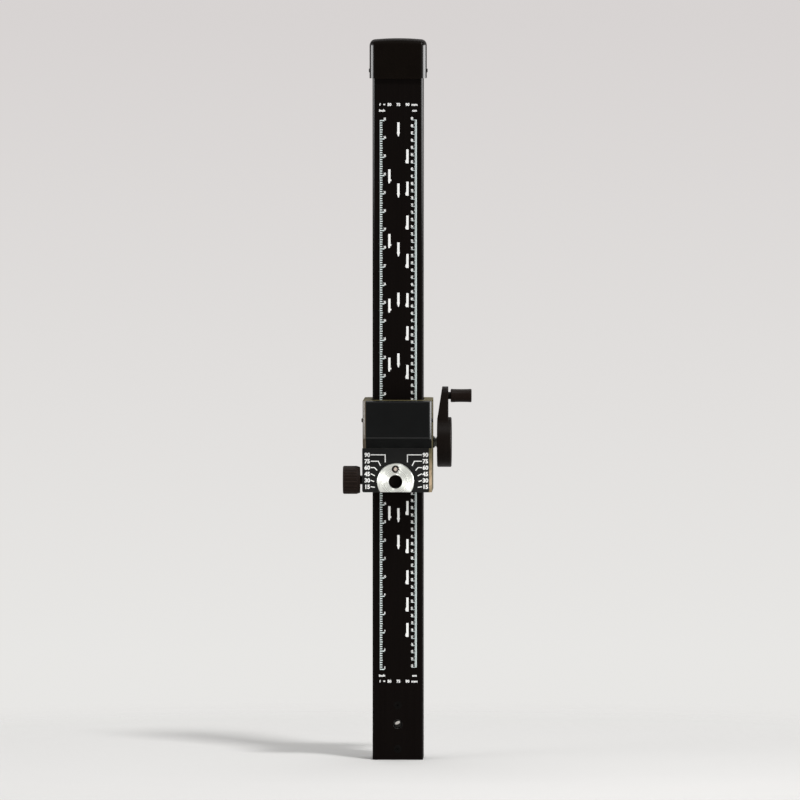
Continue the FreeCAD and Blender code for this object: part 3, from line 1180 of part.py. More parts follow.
def shaft_clip():
    """Retaining clip at the shaft's inner end."""
    bore = SHAFT_RADIUS - CLIP_THICKNESS + SCREW_CLEARANCE
    start = crank_point(shaft_clip_x() + SCREW_CLEARANCE)
    return c_clip(start, X_AXIS, bore, SHAFT_CLIP_RADIUS, CLIP_THICKNESS - 2 * SCREW_CLEARANCE)


def shaft_bush():
    """Flanged bearing bush pressed into the carriage's right wall."""
    sleeve = rod(BUSH_RADIUS - BUSH_PRESS_CLEARANCE, crank_point(SHAFT_BOSS_X), crank_point(CARRIAGE_SIDE_X))
    flange = rod(BUSH_FLANGE_RADIUS, crank_point(CARRIAGE_SIDE_X), crank_point(BUSH_FACE_X))
    bore = rod(SHAFT_RADIUS + RUNNING_CLEARANCE, crank_point(SHAFT_BOSS_X), crank_point(BUSH_FACE_X))
    return fused(sleeve, flange).cut(bore)


def thrust_collar():
    """Grooved collar on the shaft between the bush and the crank."""
    bore = SHAFT_RADIUS + SCREW_CLEARANCE
    collar = tube(COLLAR_RADIUS, bore, crank_point(COLLAR_X), crank_point(CRANK_BACK_X))
    middle = COLLAR_X + COLLAR_LENGTH / 2
    groove = tube(COLLAR_RADIUS, COLLAR_RADIUS - COLLAR_GROOVE, crank_point(middle - COLLAR_GROOVE / 2),
                  crank_point(middle + COLLAR_GROOVE / 2))
    return collar.cut(groove)


def crank_disc():
    """The crank's round centre with a dished face and a ribbed hollow behind."""
    edge = CRANK_DISC_CHAMFER
    outline = [
        crank_point(CRANK_BACK_X),
        crank_point(CRANK_BACK_X, 0, CRANK_DISC_RADIUS - edge),
        crank_point(CRANK_BACK_X + edge, 0, CRANK_DISC_RADIUS),
        crank_point(CRANK_FACE_X - edge, 0, CRANK_DISC_RADIUS),
        crank_point(CRANK_FACE_X, 0, CRANK_DISC_RADIUS - edge),
        crank_point(CRANK_FACE_X, 0, CRANK_DISH_RADIUS),
        crank_point(CRANK_FACE_X - CRANK_DISH_DEPTH, 0, CRANK_DISH_RADIUS - CRANK_DISH_DEPTH),
        crank_point(CRANK_FACE_X - CRANK_DISH_DEPTH),
    ]
    disc = turned(outline, crank_point(0), X_AXIS)
    hollow = tube(CRANK_BACK_RADIUS, CRANK_HUB_RADIUS, crank_point(CRANK_BACK_X),
                  crank_point(CRANK_BACK_X + CRANK_BACK_DEPTH))
    ribs = []
    for rib in range(CRANK_RIBS):
        bar = block(CRANK_BACK_X, CRANK_BACK_X + CRANK_BACK_DEPTH, CRANK_Y - CRANK_RIB_WIDTH / 2,
                    CRANK_Y + CRANK_RIB_WIDTH / 2, CRANK_Z, CRANK_Z + CRANK_BACK_RADIUS)
        bar.rotate(crank_point(0), X_AXIS, 360.0 * rib / CRANK_RIBS)
        ribs.append(bar)
    return disc.cut(hollow.cut(ribs))


def crank_bar():
    """The crank's tapering arm, from the round centre to the grip."""
    lean = (ARM_ROOT_RADIUS - ARM_END_RADIUS) / CRANK_RADIUS
    rise = math.sqrt(1 - lean ** 2)
    back_x = ARM_FACE_X - ARM_ROOT_THICKNESS
    outline = [
        crank_point(back_x, -ARM_ROOT_RADIUS * rise, ARM_ROOT_RADIUS * lean),
        crank_point(back_x, ARM_ROOT_RADIUS * rise, ARM_ROOT_RADIUS * lean),
        crank_point(back_x, ARM_END_RADIUS * rise, CRANK_RADIUS + ARM_END_RADIUS * lean),
        crank_point(back_x, -ARM_END_RADIUS * rise, CRANK_RADIUS + ARM_END_RADIUS * lean),
    ]
    bar = prism(outline, X_AXIS * ARM_ROOT_THICKNESS)
    end = rod(ARM_END_RADIUS, crank_point(back_x, 0, CRANK_RADIUS), crank_point(ARM_FACE_X, 0, CRANK_RADIUS))
    bar = fused(bar, end)
    tip_z = CRANK_RADIUS + ARM_END_RADIUS
    wedge_side = ARM_ROOT_RADIUS + ARM_END_RADIUS
    wedge = [
        crank_point(back_x, -wedge_side, CRANK_DISC_RADIUS),
        crank_point(ARM_FACE_X - ARM_END_THICKNESS, -wedge_side, tip_z),
        crank_point(back_x, -wedge_side, tip_z),
    ]
    return bar.cut(prism(wedge, Y_AXIS * (2 * wedge_side)))


def crank_arm():
    """One-piece moulded crank: round centre and arm, bored for the shaft and the grip pin."""
    keep_out = rod(CRANK_BACK_RADIUS, crank_point(CRANK_BACK_X), crank_point(CRANK_BACK_X + CRANK_BACK_DEPTH))
    shape = fused(crank_disc(), crank_bar().cut(keep_out))
    socket = rod(SHAFT_RADIUS + SCREW_CLEARANCE, crank_point(CRANK_BACK_X), crank_point(shaft_end_x()))
    flat_z = CRANK_Z + SHAFT_FLAT_HEIGHT + SCREW_CLEARANCE
    around = 2 * SHAFT_RADIUS
    flat = block(CRANK_BACK_X, CRANK_FACE_X, CRANK_Y - around, CRANK_Y + around, flat_z, CRANK_Z + around)
    hole = CRANK_SCREW_RADIUS + SCREW_CLEARANCE
    screw_hole = rod(hole, crank_point(shaft_end_x()), crank_point(CRANK_FACE_X))
    pin_hole = rod(GRIP_PIN_RADIUS, crank_point(ARM_FACE_X - ARM_ROOT_THICKNESS, 0, CRANK_RADIUS),
                   crank_point(ARM_FACE_X, 0, CRANK_RADIUS))
    return shape.cut([socket.cut(flat), screw_hole, pin_hole])


def crank_screw():
    """Screw in the middle of the crank's dished face."""
    seat = crank_point(CRANK_FACE_X - CRANK_DISH_DEPTH)
    return pan_screw(seat, -X_AXIS, CRANK_SCREW_RADIUS, CRANK_SCREW_LENGTH, CRANK_SCREW_HEAD_RADIUS,
                     CRANK_SCREW_HEAD_HEIGHT)


def grip_pin():
    """Shouldered pin, riveted into the arm, that the grip turns on."""
    start = crank_point(ARM_FACE_X - ARM_END_THICKNESS / 2, 0, CRANK_RADIUS)
    head_x = GRIP_OUTER_X - GRIP_END_RECESS + SCREW_CLEARANCE
    pin = rod(GRIP_PIN_RADIUS, start, crank_point(head_x, 0, CRANK_RADIUS))
    shoulder = rod(GRIP_NECK_RADIUS, crank_point(ARM_FACE_X, 0, CRANK_RADIUS),
                   crank_point(ARM_FACE_X + GRIP_NECK_LENGTH, 0, CRANK_RADIUS))
    head = rod(GRIP_PIN_HEAD_RADIUS, crank_point(head_x, 0, CRANK_RADIUS),
               crank_point(head_x + GRIP_PIN_HEAD, 0, CRANK_RADIUS))
    return fused(pin, shoulder, head)


def crank_grip():
    """Turning grip with a slight waist, bored for its pin."""
    inner = crank_point(GRIP_INNER_X, 0, CRANK_RADIUS)
    waist = inner + X_AXIS * (GRIP_LENGTH / 2) + Z_AXIS * (GRIP_RADIUS - GRIP_WAIST)
    start = inner + Z_AXIS * GRIP_RADIUS
    end = start + X_AXIS * GRIP_LENGTH
    side = Part.Arc(start, waist, end).toShape()
    rest = Part.makePolygon([end, inner + X_AXIS * GRIP_LENGTH, inner, start])
    body = Part.Face(Part.Wire([side] + rest.Edges)).revolve(inner, X_AXIS, 360)
    rims = [e for e in body.Edges if e.BoundBox.XLength < FLAT_TOLERANCE and e.BoundBox.ZLength > GRIP_RADIUS]
    body = body.makeFillet(GRIP_EDGE_RADIUS, rims)
    bore = rod(GRIP_PIN_RADIUS + RUNNING_CLEARANCE, inner, inner + X_AXIS * GRIP_LENGTH)
    recess = rod(GRIP_PIN_HEAD_RADIUS + GRIP_HEAD_ROOM, inner + X_AXIS * (GRIP_LENGTH - GRIP_END_RECESS),
                 inner + X_AXIS * GRIP_LENGTH)
    return body.cut([bore, recess])


PIECES = [
    column_tube, rack, rack_pins, foot_block, foot_screws, foot_lock_screw, column_cap, cap_screws,
    drum_bracket, bracket_screws, drum_axle, axle_clips, spring_drum, spring_coil, spring_strip,
    strip_anchor, anchor_screws, strip_rivets, carriage_body, rear_cover, rear_cover_screws, upper_glides,
    lower_glides, front_rollers, roller_axle, pressure_leaf, pressure_screws, front_cover, cover_screws,
    angle_plate, tilt_disc, index_screw, hub_ring, clamp_knob, clamp_spindle, clamp_shoe, pinion,
    pinion_pin, crank_shaft, shaft_clip, shaft_bush, thrust_collar, crank_arm, crank_screw, grip_pin,
    crank_grip,
]


def main():
    """Builds every piece and writes one file for each."""
    os.makedirs("parts", exist_ok=True)
    for make in PIECES:
        made = make()
        shape = Part.makeCompound(made) if isinstance(made, list) else made
        for solid in shape.Solids:
            if not solid.isValid():
                raise ValueError("a solid of " + make.__name__ + " is not valid")
        shape.exportStep(os.path.join("parts", make.__name__ + ".step"))
        print(make.__name__, len(shape.Solids), round(shape.Volume, 1))


main()
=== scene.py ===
import json
import math

import bmesh
import bpy
from bpy.props import FloatProperty, FloatVectorProperty, PointerProperty
from bpy.types import Operator, Panel, PropertyGroup
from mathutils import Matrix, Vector


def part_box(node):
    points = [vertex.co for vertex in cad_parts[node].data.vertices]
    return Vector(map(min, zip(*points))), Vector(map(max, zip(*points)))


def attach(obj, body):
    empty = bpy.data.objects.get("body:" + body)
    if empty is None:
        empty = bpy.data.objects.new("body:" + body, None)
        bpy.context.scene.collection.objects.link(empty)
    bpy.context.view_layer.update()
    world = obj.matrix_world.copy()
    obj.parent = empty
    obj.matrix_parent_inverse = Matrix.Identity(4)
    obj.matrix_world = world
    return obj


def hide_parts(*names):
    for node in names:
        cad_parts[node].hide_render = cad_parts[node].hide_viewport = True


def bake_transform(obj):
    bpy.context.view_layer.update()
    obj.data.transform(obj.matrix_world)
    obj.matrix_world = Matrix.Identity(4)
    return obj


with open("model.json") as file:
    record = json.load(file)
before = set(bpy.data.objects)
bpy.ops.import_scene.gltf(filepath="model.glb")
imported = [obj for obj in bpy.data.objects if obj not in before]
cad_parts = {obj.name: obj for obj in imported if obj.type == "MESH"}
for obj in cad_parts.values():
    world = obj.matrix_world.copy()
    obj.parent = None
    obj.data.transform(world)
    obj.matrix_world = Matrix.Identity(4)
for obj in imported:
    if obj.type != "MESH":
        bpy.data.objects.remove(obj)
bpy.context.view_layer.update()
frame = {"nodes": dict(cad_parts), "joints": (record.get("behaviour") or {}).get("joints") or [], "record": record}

bl_info = {
    "name": "Enlarger Column Looks",
    "version": (1, 0, 0),
    "blender": (4, 5, 0),
    "location": "View3D > Sidebar > Column",
    "description": "Finishes, printed scales and studio stage for a column with a crank-driven carriage",
    "category": "Object",
}

MM = 0.001
CENTIMETRE = 10 * MM
INCH = 25.4 * MM
MERGE_DISTANCE = 1e-7
# Leaves out how deep a point lies behind the front
ACROSS_FRONT = (1.0, 0.0, 1.0)
# Sharpest turn that a printed line is mitred for, as the cosine of half the turn
MITRE_LIMIT = 0.3
# Steps along each curve of a letter
LETTER_STEPS = 3

# Faces that carry print, and what the finishes turn about
COLUMN_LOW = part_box("column_tube")[0]
PLATE_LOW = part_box("angle_plate")[0]
STRIP_LOW, STRIP_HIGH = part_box("spring_strip")
DISC_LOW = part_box("tilt_disc")[0]
INDEX_LOW, INDEX_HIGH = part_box("index_screw")
COVER_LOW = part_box("front_cover")[0]
LOCK_LOW, LOCK_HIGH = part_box("foot_lock_screw")
JOINT_PLACES = {joint["name"]: joint.get("pos_m") for joint in frame["joints"]}
TILT_AXIS = Vector(JOINT_PLACES["head_tilt"])
HEAD_BORE_RADIUS = 9.5 * MM
INDEX_HOLE_RADIUS = 5.2 * MM
# Painted shade inside the bore and the index hole of the turned seat
HOLE_SHADE_COLOUR = (0.045, 0.034, 0.030, 1.0)
# Where the side glides of the carriage rub the column
GLIDE_TRACK_Y = 22.0 * MM
GLIDE_TRACK_HALF = 2.5 * MM
GLIDE_TRACK_BLUR = 0.4 * MM
GLIDE_TRACK_ENDS = (0.03, 0.92)
GLIDE_TRACK_FADE = 0.02
# Heights between which the column's corners turn glossy
GLOSSY_RISE = (0.68, 0.95)
# Painted highlight low on the carriage's upright corners: its colour, and the heights over which it fades out
# going up
CORNER_HIGHLIGHT_COLOUR = (0.50, 0.37, 0.24, 1.0)
CORNER_HIGHLIGHT_FADE = (0.395, 0.43)
# Painted highlight along the left edge of the roller cover, lighter than its black
PAINTED_HIGHLIGHT_EDGE = 4.6 * MM
PAINTED_HIGHLIGHT_BLUR = 0.4 * MM
PAINTED_HIGHLIGHT_COLOUR = (0.105, 0.084, 0.062, 1.0)

# Painted highlight: a slanting spot on the lock screw's head
LOCK_HIGHLIGHT_SHIFT = Vector((-0.2 * MM, 0.0, 1.9 * MM))
LOCK_HIGHLIGHT_TURN = -math.radians(24.0)
LOCK_HIGHLIGHT_SIZE = (4.0 * MM, 1.0, 2.2 * MM)

# The two height scales, measured from a zero just under the base
SCALE_ZERO = -1.1 * MM
FIGURE_LIFT = 2.2 * MM
# How much bolder the strokes are than the font's own
FIGURE_WEIGHT = 0.05
TILT_WEIGHT = 0.045

# Heights of the arrow tips above the base, in the three arrow columns
ARROW_MIDDLE = 1.0 * MM
ARROW_COLUMN = 12.55 * MM
LEFT_TIPS = (801.0, 711.3, 621.5, 539.7, 333.3)
MIDDLE_TIPS = (866.1, 781.4, 699.6, 629.8, 545.6, 330.6, 293.2)
RIGHT_TIPS = (828.6, 783.8, 736.9, 683.6, 629.2, 583.3, 529.5, 340.5, 287.6, 244.3, 206.4, 171.0)

# Headings over and under the scales
HEADING_HEIGHTS = (910.2 * MM, 109.4 * MM)
UNIT_HEIGHTS = (902.0 * MM, 117.4 * MM)
ARROW_LABELS = ("50", "75", "90")
HEADING_FIGURE = 3.7 * MM
HEADING_SMALL = 3.2 * MM
UNIT_FIGURE = 3.0 * MM

# Tilt scale on the angle plate: one row for each label, from the top one down
TILT_LABELS = (90, 75, 60, 45, 30, 15)
TILT_TOP_ROW = 37.1 * MM
TILT_ROW_STEP = 8.85 * MM
TILT_LABEL_X = 40.3 * MM
TILT_LEADER_X = 35.5 * MM
TILT_LEADER_RADIUS = 30.8 * MM
TILT_LEADER_OFFSET = 120
TILT_LEADER_LEAN = 0.5
TILT_PRINT_SHIFT = 1.0 * MM


def length_setting(name, millimetres, description):
    """A size that a user may change."""
    return FloatProperty(
        name=name, description=description, default=millimetres * MM, unit="LENGTH", precision=6)


def angle_setting(name, degrees, description):
    """An angle that a user may change."""
    return FloatProperty(name=name, description=description, default=math.radians(degrees), subtype="ANGLE")


def colour_setting(name, colour, description):
    """A colour that a user may change."""
    return FloatVectorProperty(
        name=name, description=description, default=colour, subtype="COLOR", min=0.0, max=1.0)


class PrintSizes(PropertyGroup):
    """Sizes and colours of the printed scales."""

    ink_depth: length_setting("Ink Depth", 0.05, "How far the ink stands off the metal")
    inch_tick: length_setting("Inch Tick", 1.5, "Thickness of a tick on the inch scale")
    millimetre_tick: length_setting("Millimetre Tick", 0.6, "Thickness of a tick on the centimetre scale")
    figure_height: length_setting("Figure Height", 3.2, "Height of the figures beside the scales")
    figure_squeeze: FloatProperty(
        name="Figure Squeeze", description="Width of the scale figures as a share of their usual width",
        default=0.68, subtype="FACTOR", min=0.4, max=1.2)
    arrow_length: length_setting("Arrow Length", 19.4, "Length of an arrow from its square end to its tip")
    arrow_width: length_setting("Arrow Width", 3.2, "Width of an arrow's shaft")
    tilt_figure: length_setting("Tilt Figure", 5.4, "Height of the figures on the angle plate")
    leader_width: length_setting("Leader Width", 1.3, "Width of the leader lines on the angle plate")
    white: colour_setting("White Ink", (0.89, 0.89, 0.87), "Colour of the figures, arrows and leader lines")
    mint: colour_setting("Tick Ink", (0.68, 0.765, 0.75), "Colour of the ticks on the two height scales")


class FinishColours(PropertyGroup):
    """Base colours of the finishes."""

    extrusion: colour_setting("Extrusion", (0.0042, 0.0031, 0.0027), "Black anodised column")
    casting: colour_setting("Casting", (0.112, 0.095, 0.044), "Stove enamel on the carriage housing")
    sheet: colour_setting("Sheet", (0.0115, 0.0115, 0.0112), "Anodised plate and rear cover")
    moulding: colour_setting("Moulding", (0.0100, 0.0059, 0.0042), "Grained black knob and grip")
    crank: colour_setting("Crank", (0.0068, 0.0045, 0.0034), "Smooth black crank")
    cap: colour_setting("Cap", (0.0042, 0.0029, 0.0021), "Satin black cap")
    cover: colour_setting("Cover", (0.0043, 0.0046, 0.0046), "Satin black cover over the rollers")
    chrome: colour_setting("Dark Chrome", (0.05, 0.05, 0.045), "Collar and bush beside the crank")
    aluminium: colour_setting("Aluminium", (0.80, 0.82, 0.765), "Turned seat of the head")
    zinc: colour_setting("Zinc", (0.50, 0.51, 0.51), "Rack, shaft, pins and axles")
    # On the lock screw this colour makes its painted highlight, and a darker gain of it the rest of the head
    nickel: colour_setting("Nickel", (0.72, 0.70, 0.66), "Lock screw, where its key rubs it")
    spring: colour_setting("Spring Steel", (0.36, 0.38, 0.41), "Polished spring strip")
    blackened: colour_setting("Blackened Steel", (0.0080, 0.0075, 0.0070), "Black screws")
    brass: colour_setting("Brass", (0.86, 0.75, 0.66), "Shoe and index screw")
    acetal: colour_setting("Acetal", (0.78, 0.77, 0.72), "Natural plastic pads and drum")
    rubber: colour_setting("Rubber", (0.022, 0.022, 0.021), "Ground rollers")
    iron: colour_setting("Cast Iron", (0.085, 0.083, 0.080), "Foot block")


class StageSizes(PropertyGroup):
    """The camera, the lights and what the object stands on."""

    camera_distance: FloatProperty(
        name="Camera Distance", description="From the camera to the column's front face",
        default=16.0, unit="LENGTH")
    camera_azimuth: angle_setting("Camera Azimuth", 1.25, "How far the camera stands to the right")
    camera_elevation: angle_setting("Camera Elevation", 2.3, "How far the camera looks down")
    aim_side: length_setting("Aim Side", 3.2, "Middle of the picture, to the right of the column's axis")
    aim_height: length_setting("Aim Height", 500.3, "Middle of the picture, above the base")
    picture_height: length_setting(
        "Picture Height", 1110.0, "Height of the picture where the column's front face is")
    floor_colour: colour_setting("Floor", (0.645, 0.638, 0.627), "Pale floor")
    backdrop_low: colour_setting("Backdrop Low", (0.805, 0.797, 0.780), "Backdrop at the floor")
    backdrop_high: colour_setting(
        "Backdrop High", (0.684, 0.655, 0.648), "Backdrop at the top of the picture")
    ceiling: colour_setting("Ceiling", (0.30, 0.30, 0.30), "Studio overhead")
    ambient: FloatProperty(
        name="Ambient", description="Even light from all round", default=0.50, min=0.0, max=2.0)


class Value:
    """One socket of a node tree, for use in Python expressions."""

    def __init__(self, graph, socket):
        self.graph = graph
        self.socket = socket

    def __add__(self, other):
        return self.graph.math("ADD", self, other)

    def __sub__(self, other):
        return self.graph.math("SUBTRACT", self, other)

    def __rsub__(self, other):
        return self.graph.math("SUBTRACT", other, self)

    def __mul__(self, other):
        return self.graph.math("MULTIPLY", self, other)

    def __mod__(self, other):
        return self.graph.math("FLOORED_MODULO", self, other)

    __radd__ = __add__
    __rmul__ = __mul__

    def share(self, low, high, curve="LINEAR"):
        """How far the value is on its way from low to high, held between 0 and 1."""
        return self.graph.value(
            "ShaderNodeMapRange", "Result", {"interpolation_type": curve},
            {"Value": self, "From Min": low, "From Max": high})

    def rising(self, low, high):
        """The same, with a soft start and end."""
        return self.share(low, high, "SMOOTHSTEP")


def find_socket(sockets, name):
    """A socket by its identifier, or else by its name."""
    for socket in sockets:
        if socket.identifier == name:
            return socket
    return sockets[name]


def rgba(colour, gain=1.0):
    """A colour for a socket, made lighter or darker by a gain."""
    return (*[min(1.0, part * gain) for part in colour], 1.0)


def bare_tree(owner):
    """The node tree of a material or a world, emptied."""
    owner.use_nodes = True
    owner.node_tree.nodes.clear()
    return owner.node_tree


class Graph:
    """Adds nodes to one node tree."""

    MATH_SOCKETS = ("Value", "Value_001", "Value_002")
    # Vector Math operations that give a number
    NUMBER_RESULTS = ("LENGTH", "DOT_PRODUCT")

    def __init__(self, tree):
        self.tree = tree

    def node(self, kind, settings=None, sockets=None):
        """A new node, with its settings made first and its sockets fed after."""
        made = self.tree.nodes.new(kind)
        for name, setting in (settings or {}).items():
            setattr(made, name, setting)
        for name, value in (sockets or {}).items():
            self.feed(find_socket(made.inputs, name), value)
        return made

    def feed(self, socket, value):
        """Links a value to a socket, or sets a plain number or colour on it."""
        if isinstance(value, Value):
            self.tree.links.new(value.socket, socket)
        else:
            socket.default_value = value

    def value(self, kind, output, settings=None, sockets=None):
        """One output of a new node."""
        return Value(self, find_socket(self.node(kind, settings, sockets).outputs, output))

    def math(self, operation, *terms):
        """A Math node on two or three values or numbers."""
        sockets = dict(zip(self.MATH_SOCKETS, terms))
        return self.value("ShaderNodeMath", "Value", {"operation": operation}, sockets)

    def vector(self, operation, *terms):
        """A Vector Math node on vectors."""
        output = "Value" if operation in self.NUMBER_RESULTS else "Vector"
        sockets = dict(zip(("Vector", "Vector_001"), terms))
        return self.value("ShaderNodeVectorMath", output, {"operation": operation}, sockets)

    def parts(self, vector):
        """The three parts of a vector."""
        split = self.node("ShaderNodeSeparateXYZ", None, {"Vector": vector})
        return [Value(self, split.outputs[axis]) for axis in "XYZ"]

    def joined(self, x=0.0, y=0.0, z=0.0):
        """A vector from its three parts."""
        return self.value("ShaderNodeCombineXYZ", "Vector", None, {"X": x, "Y": y, "Z": z})

    def shader_mix(self, factor, first, second):
        """One shader turning into another."""
        return self.value(
            "ShaderNodeMixShader", "Shader", None, {"Fac": factor, "Shader": first, "Shader_001": second})

    def mixed(self, factor, first, second):
        """One colour turning into another."""
        return self.value(
            "ShaderNodeMix", "Result_Color", {"data_type": "RGBA"},
            {"Factor_Float": factor, "A_Color": first, "B_Color": second})

    def shades(self, factor, colour, dark, light):
        """One colour turning from a darker gain of itself to a lighter one."""
        return self.mixed(factor, rgba(colour, dark), rgba(colour, light))


class Finish(Graph):
    """A procedural surface finish."""

    # How far a rounded and a sharp surface direction part where wear begins and where it is full
    EDGE_TURN = (0.005, 0.08)
    EDGE_SAMPLES = 6
    # How far outside a hole's wall its painted shade ends, and how far behind its face it begins
    HOLE_WALL = (0.05 * MM, 0.15 * MM)
    HOLE_FACE = (0.15 * MM, 0.4 * MM)

    def __init__(self, name, constants):
        self.material = bpy.data.materials.new(name)
        super().__init__(bare_tree(self.material))
        self.shader = self.node("ShaderNodeBsdfPrincipled", sockets=constants)
        surface = Value(self, self.shader.outputs["BSDF"])
        self.node("ShaderNodeOutputMaterial", sockets={"Surface": surface})
        self.place = self.value("ShaderNodeTexCoord", "Object")
        self.layers = {}

    def vary(self, name, value):
        """Lets one of the shader's inputs follow a value, which a later layer may build on."""
        self.feed(self.shader.inputs[name], value)
        self.layers[name] = value

    def noise(self, scale, detail=2.0, stretch=None):
        """Soft noise, with so many features to the metre, drawn out along an axis where asked."""
        vector = self.place
        if stretch:
            vector = self.value("ShaderNodeMapping", "Vector", None, {"Vector": vector, "Scale": stretch})
        return self.value(
            "ShaderNodeTexNoise", "Fac", None, {"Vector": vector, "Scale": scale, "Detail": detail})

    def noise_along(self, value, scale):
        """Soft noise along one value alone."""
        return self.value(
            "ShaderNodeTexNoise", "Fac", {"noise_dimensions": "1D"},
            {"W": value, "Scale": scale, "Detail": 2.0})

    def cells(self, scale):
        """Distance from the middle of small cells."""
        return self.value("ShaderNodeTexVoronoi", "Distance", None, {"Vector": self.place, "Scale": scale})

    def relief(self, height, depth, strength=1.0):
        """Raises the surface by a value, at most so deep."""
        normal = self.value(
            "ShaderNodeBump", "Normal", None, {"Height": height, "Distance": depth, "Strength": strength})
        self.vary("Normal", normal)

    def turned(self, kind, vector, start, end):
        """A direction taken from one set of axes to another."""
        return self.value(
            "ShaderNodeVectorTransform", "Vector",
            {"vector_type": kind, "convert_from": start, "convert_to": end}, {"Vector": vector})

    def facing(self):
        """The three parts of the surface's own direction, in the object's axes."""
        normal = self.value("ShaderNodeNewGeometry", "Normal")
        return self.parts(self.turned("NORMAL", normal, "WORLD", "OBJECT"))

    def upright_corners(self):
        """1 half way round an upright rounded corner and 0 on the faces; it places glossy coats, and the casting's
        painted highlight.
        """
        x, y = self.facing()[:2]
        return x * x * y * y * 4.0

    def edges(self, radius):
        """1 along sharp edges and 0 on faces."""
        rounded = self.value("ShaderNodeBevel", "Normal", {"samples": self.EDGE_SAMPLES}, {"Radius": radius})
        flat = self.value("ShaderNodeNewGeometry", "Normal")
        return (1.0 - self.vector("DOT_PRODUCT", rounded, flat)).share(*self.EDGE_TURN)

    def near(self, centre, radius, front_y):
        """1 inside a round hole that runs back along Y from a face, and 0 outside it."""
        apart = self.vector("SUBTRACT", self.place, tuple(centre))
        across = self.vector("LENGTH", self.vector("MULTIPLY", apart, ACROSS_FRONT))
        depth = self.parts(self.place)[1]
        inside = 1.0 - across.share(*[radius + step for step in self.HOLE_WALL])
        return inside * depth.share(*[front_y + step for step in self.HOLE_FACE])


# Finishes
def anodised_extrusion(colour):
    """Black anodising over drawing lines that run up the column, polished on its sides by the glides."""
    finish = Finish("anodised_extrusion", {"Specular IOR Level": 0.012, "Coat Roughness": 0.14})
    lines = finish.noise(1.0, 3.0, (1700.0, 1700.0, 9.0))
    clouds = finish.noise(9.0, 4.0)
    deep, height = finish.parts(finish.place)[1:]
    aside = finish.facing()[0]
    off_track = finish.math("ABSOLUTE", finish.math("ABSOLUTE", deep) - GLIDE_TRACK_Y)
    track = 1.0 - off_track.share(GLIDE_TRACK_HALF - GLIDE_TRACK_BLUR, GLIDE_TRACK_HALF + GLIDE_TRACK_BLUR)
    low, high = GLIDE_TRACK_ENDS
    travel = height.share(low, low + GLIDE_TRACK_FADE) * (1.0 - height.share(high - GLIDE_TRACK_FADE, high))
    wear_and_highlight = (aside * aside).share(0.9, 0.99) * track * travel * lines.share(0.25, 0.7)
    black = finish.shades(lines, colour, 0.7, 1.5)
    finish.vary("Base Color", finish.mixed(wear_and_highlight, black, rgba(colour, 6.0)))
    finish.vary("Roughness", 0.30 + lines * 0.10 + clouds * 0.14)
    finish.relief(lines, 0.02 * MM, 0.35)
    gloss = finish.upright_corners() * height.rising(*GLOSSY_RISE) * 0.5
    finish.vary("Coat Weight", gloss + wear_and_highlight * 0.4)
    return finish.material


def enamelled_casting(colour):
    """Olive-black stove enamel with orange peel, and a painted highlight low on the upright corners."""
    finish = Finish("enamelled_casting", {"Specular IOR Level": 0.04})
    peel = finish.noise(750.0, 2.0)
    clouds = finish.noise(25.0, 4.0)
    worn = finish.edges(0.6 * MM) * finish.noise(180.0, 3.0)
    enamel = finish.shades(clouds, colour, 0.7, 1.3)
    enamel = finish.mixed(worn, enamel, rgba(colour, 3.0))
    height = finish.parts(finish.place)[2]
    # Painted highlight: tan on the upright corners, fading out going up, broken up by noise
    wear_and_highlight = finish.upright_corners().share(0.1, 0.7) * (1.0 - height.share(*CORNER_HIGHLIGHT_FADE))
    wear_and_highlight = wear_and_highlight * finish.noise(130.0, 5.0).share(0.36, 0.6)
    finish.vary("Base Color", finish.mixed(wear_and_highlight, enamel, CORNER_HIGHLIGHT_COLOUR))
    finish.vary("Roughness", 0.42 + clouds * 0.16)
    finish.relief(peel, 0.12 * MM, 0.35)
    return finish.material


def anodised_sheet(colour):
    """Black anodised sheet with a fine cross grain and rubbed edges."""
    finish = Finish("anodised_sheet", {"Specular IOR Level": 0.07})
    grain = finish.noise(1.0, 3.0, (60.0, 2600.0, 2600.0))
    clouds = finish.noise(30.0, 3.0)
    worn = finish.edges(0.4 * MM) * finish.noise(150.0, 3.0)
    black = finish.shades(clouds, colour, 0.8, 1.25)
    finish.vary("Base Color", finish.mixed(worn, black, rgba(colour, 8.0)))
    finish.vary("Roughness", 0.36 + grain * 0.12)
    finish.relief(grain, 0.02 * MM, 0.3)
    return finish.material


def satin_black(name, colour, specular, grain_size):
    """Black moulding with a fine grain and rubbed edges."""
    finish = Finish(name, {"Specular IOR Level": specular, "Coat Roughness": 0.07})
    grain = finish.cells(grain_size)
    clouds = finish.noise(35.0, 4.0)
    worn = finish.edges(0.7 * MM) * (0.35 + finish.noise(120.0, 3.0))
    black = finish.shades(clouds, colour, 0.75, 1.3)
    finish.vary("Base Color", finish.mixed(worn, black, rgba(colour, 5.0)))
    finish.vary("Roughness", 0.34 + clouds * 0.12 + grain * 0.1)
    finish.relief(grain, 0.06 * MM, 0.4)
    return finish


def grained_moulding(colour):
    """Knob and grip: a leathery grain."""
    return satin_black("grained_moulding", colour, 0.07, 1500.0).material


def smooth_moulding(colour):
    """The crank: smoother and darker."""
    return satin_black("smooth_moulding", colour, 0.07, 2000.0).material


def satin_cap(colour):
    """The cap: a finer grain and glossy corners."""
    finish = satin_black("satin_cap", colour, 0.015, 2400.0)
    finish.vary("Coat Weight", finish.upright_corners())
    return finish.material


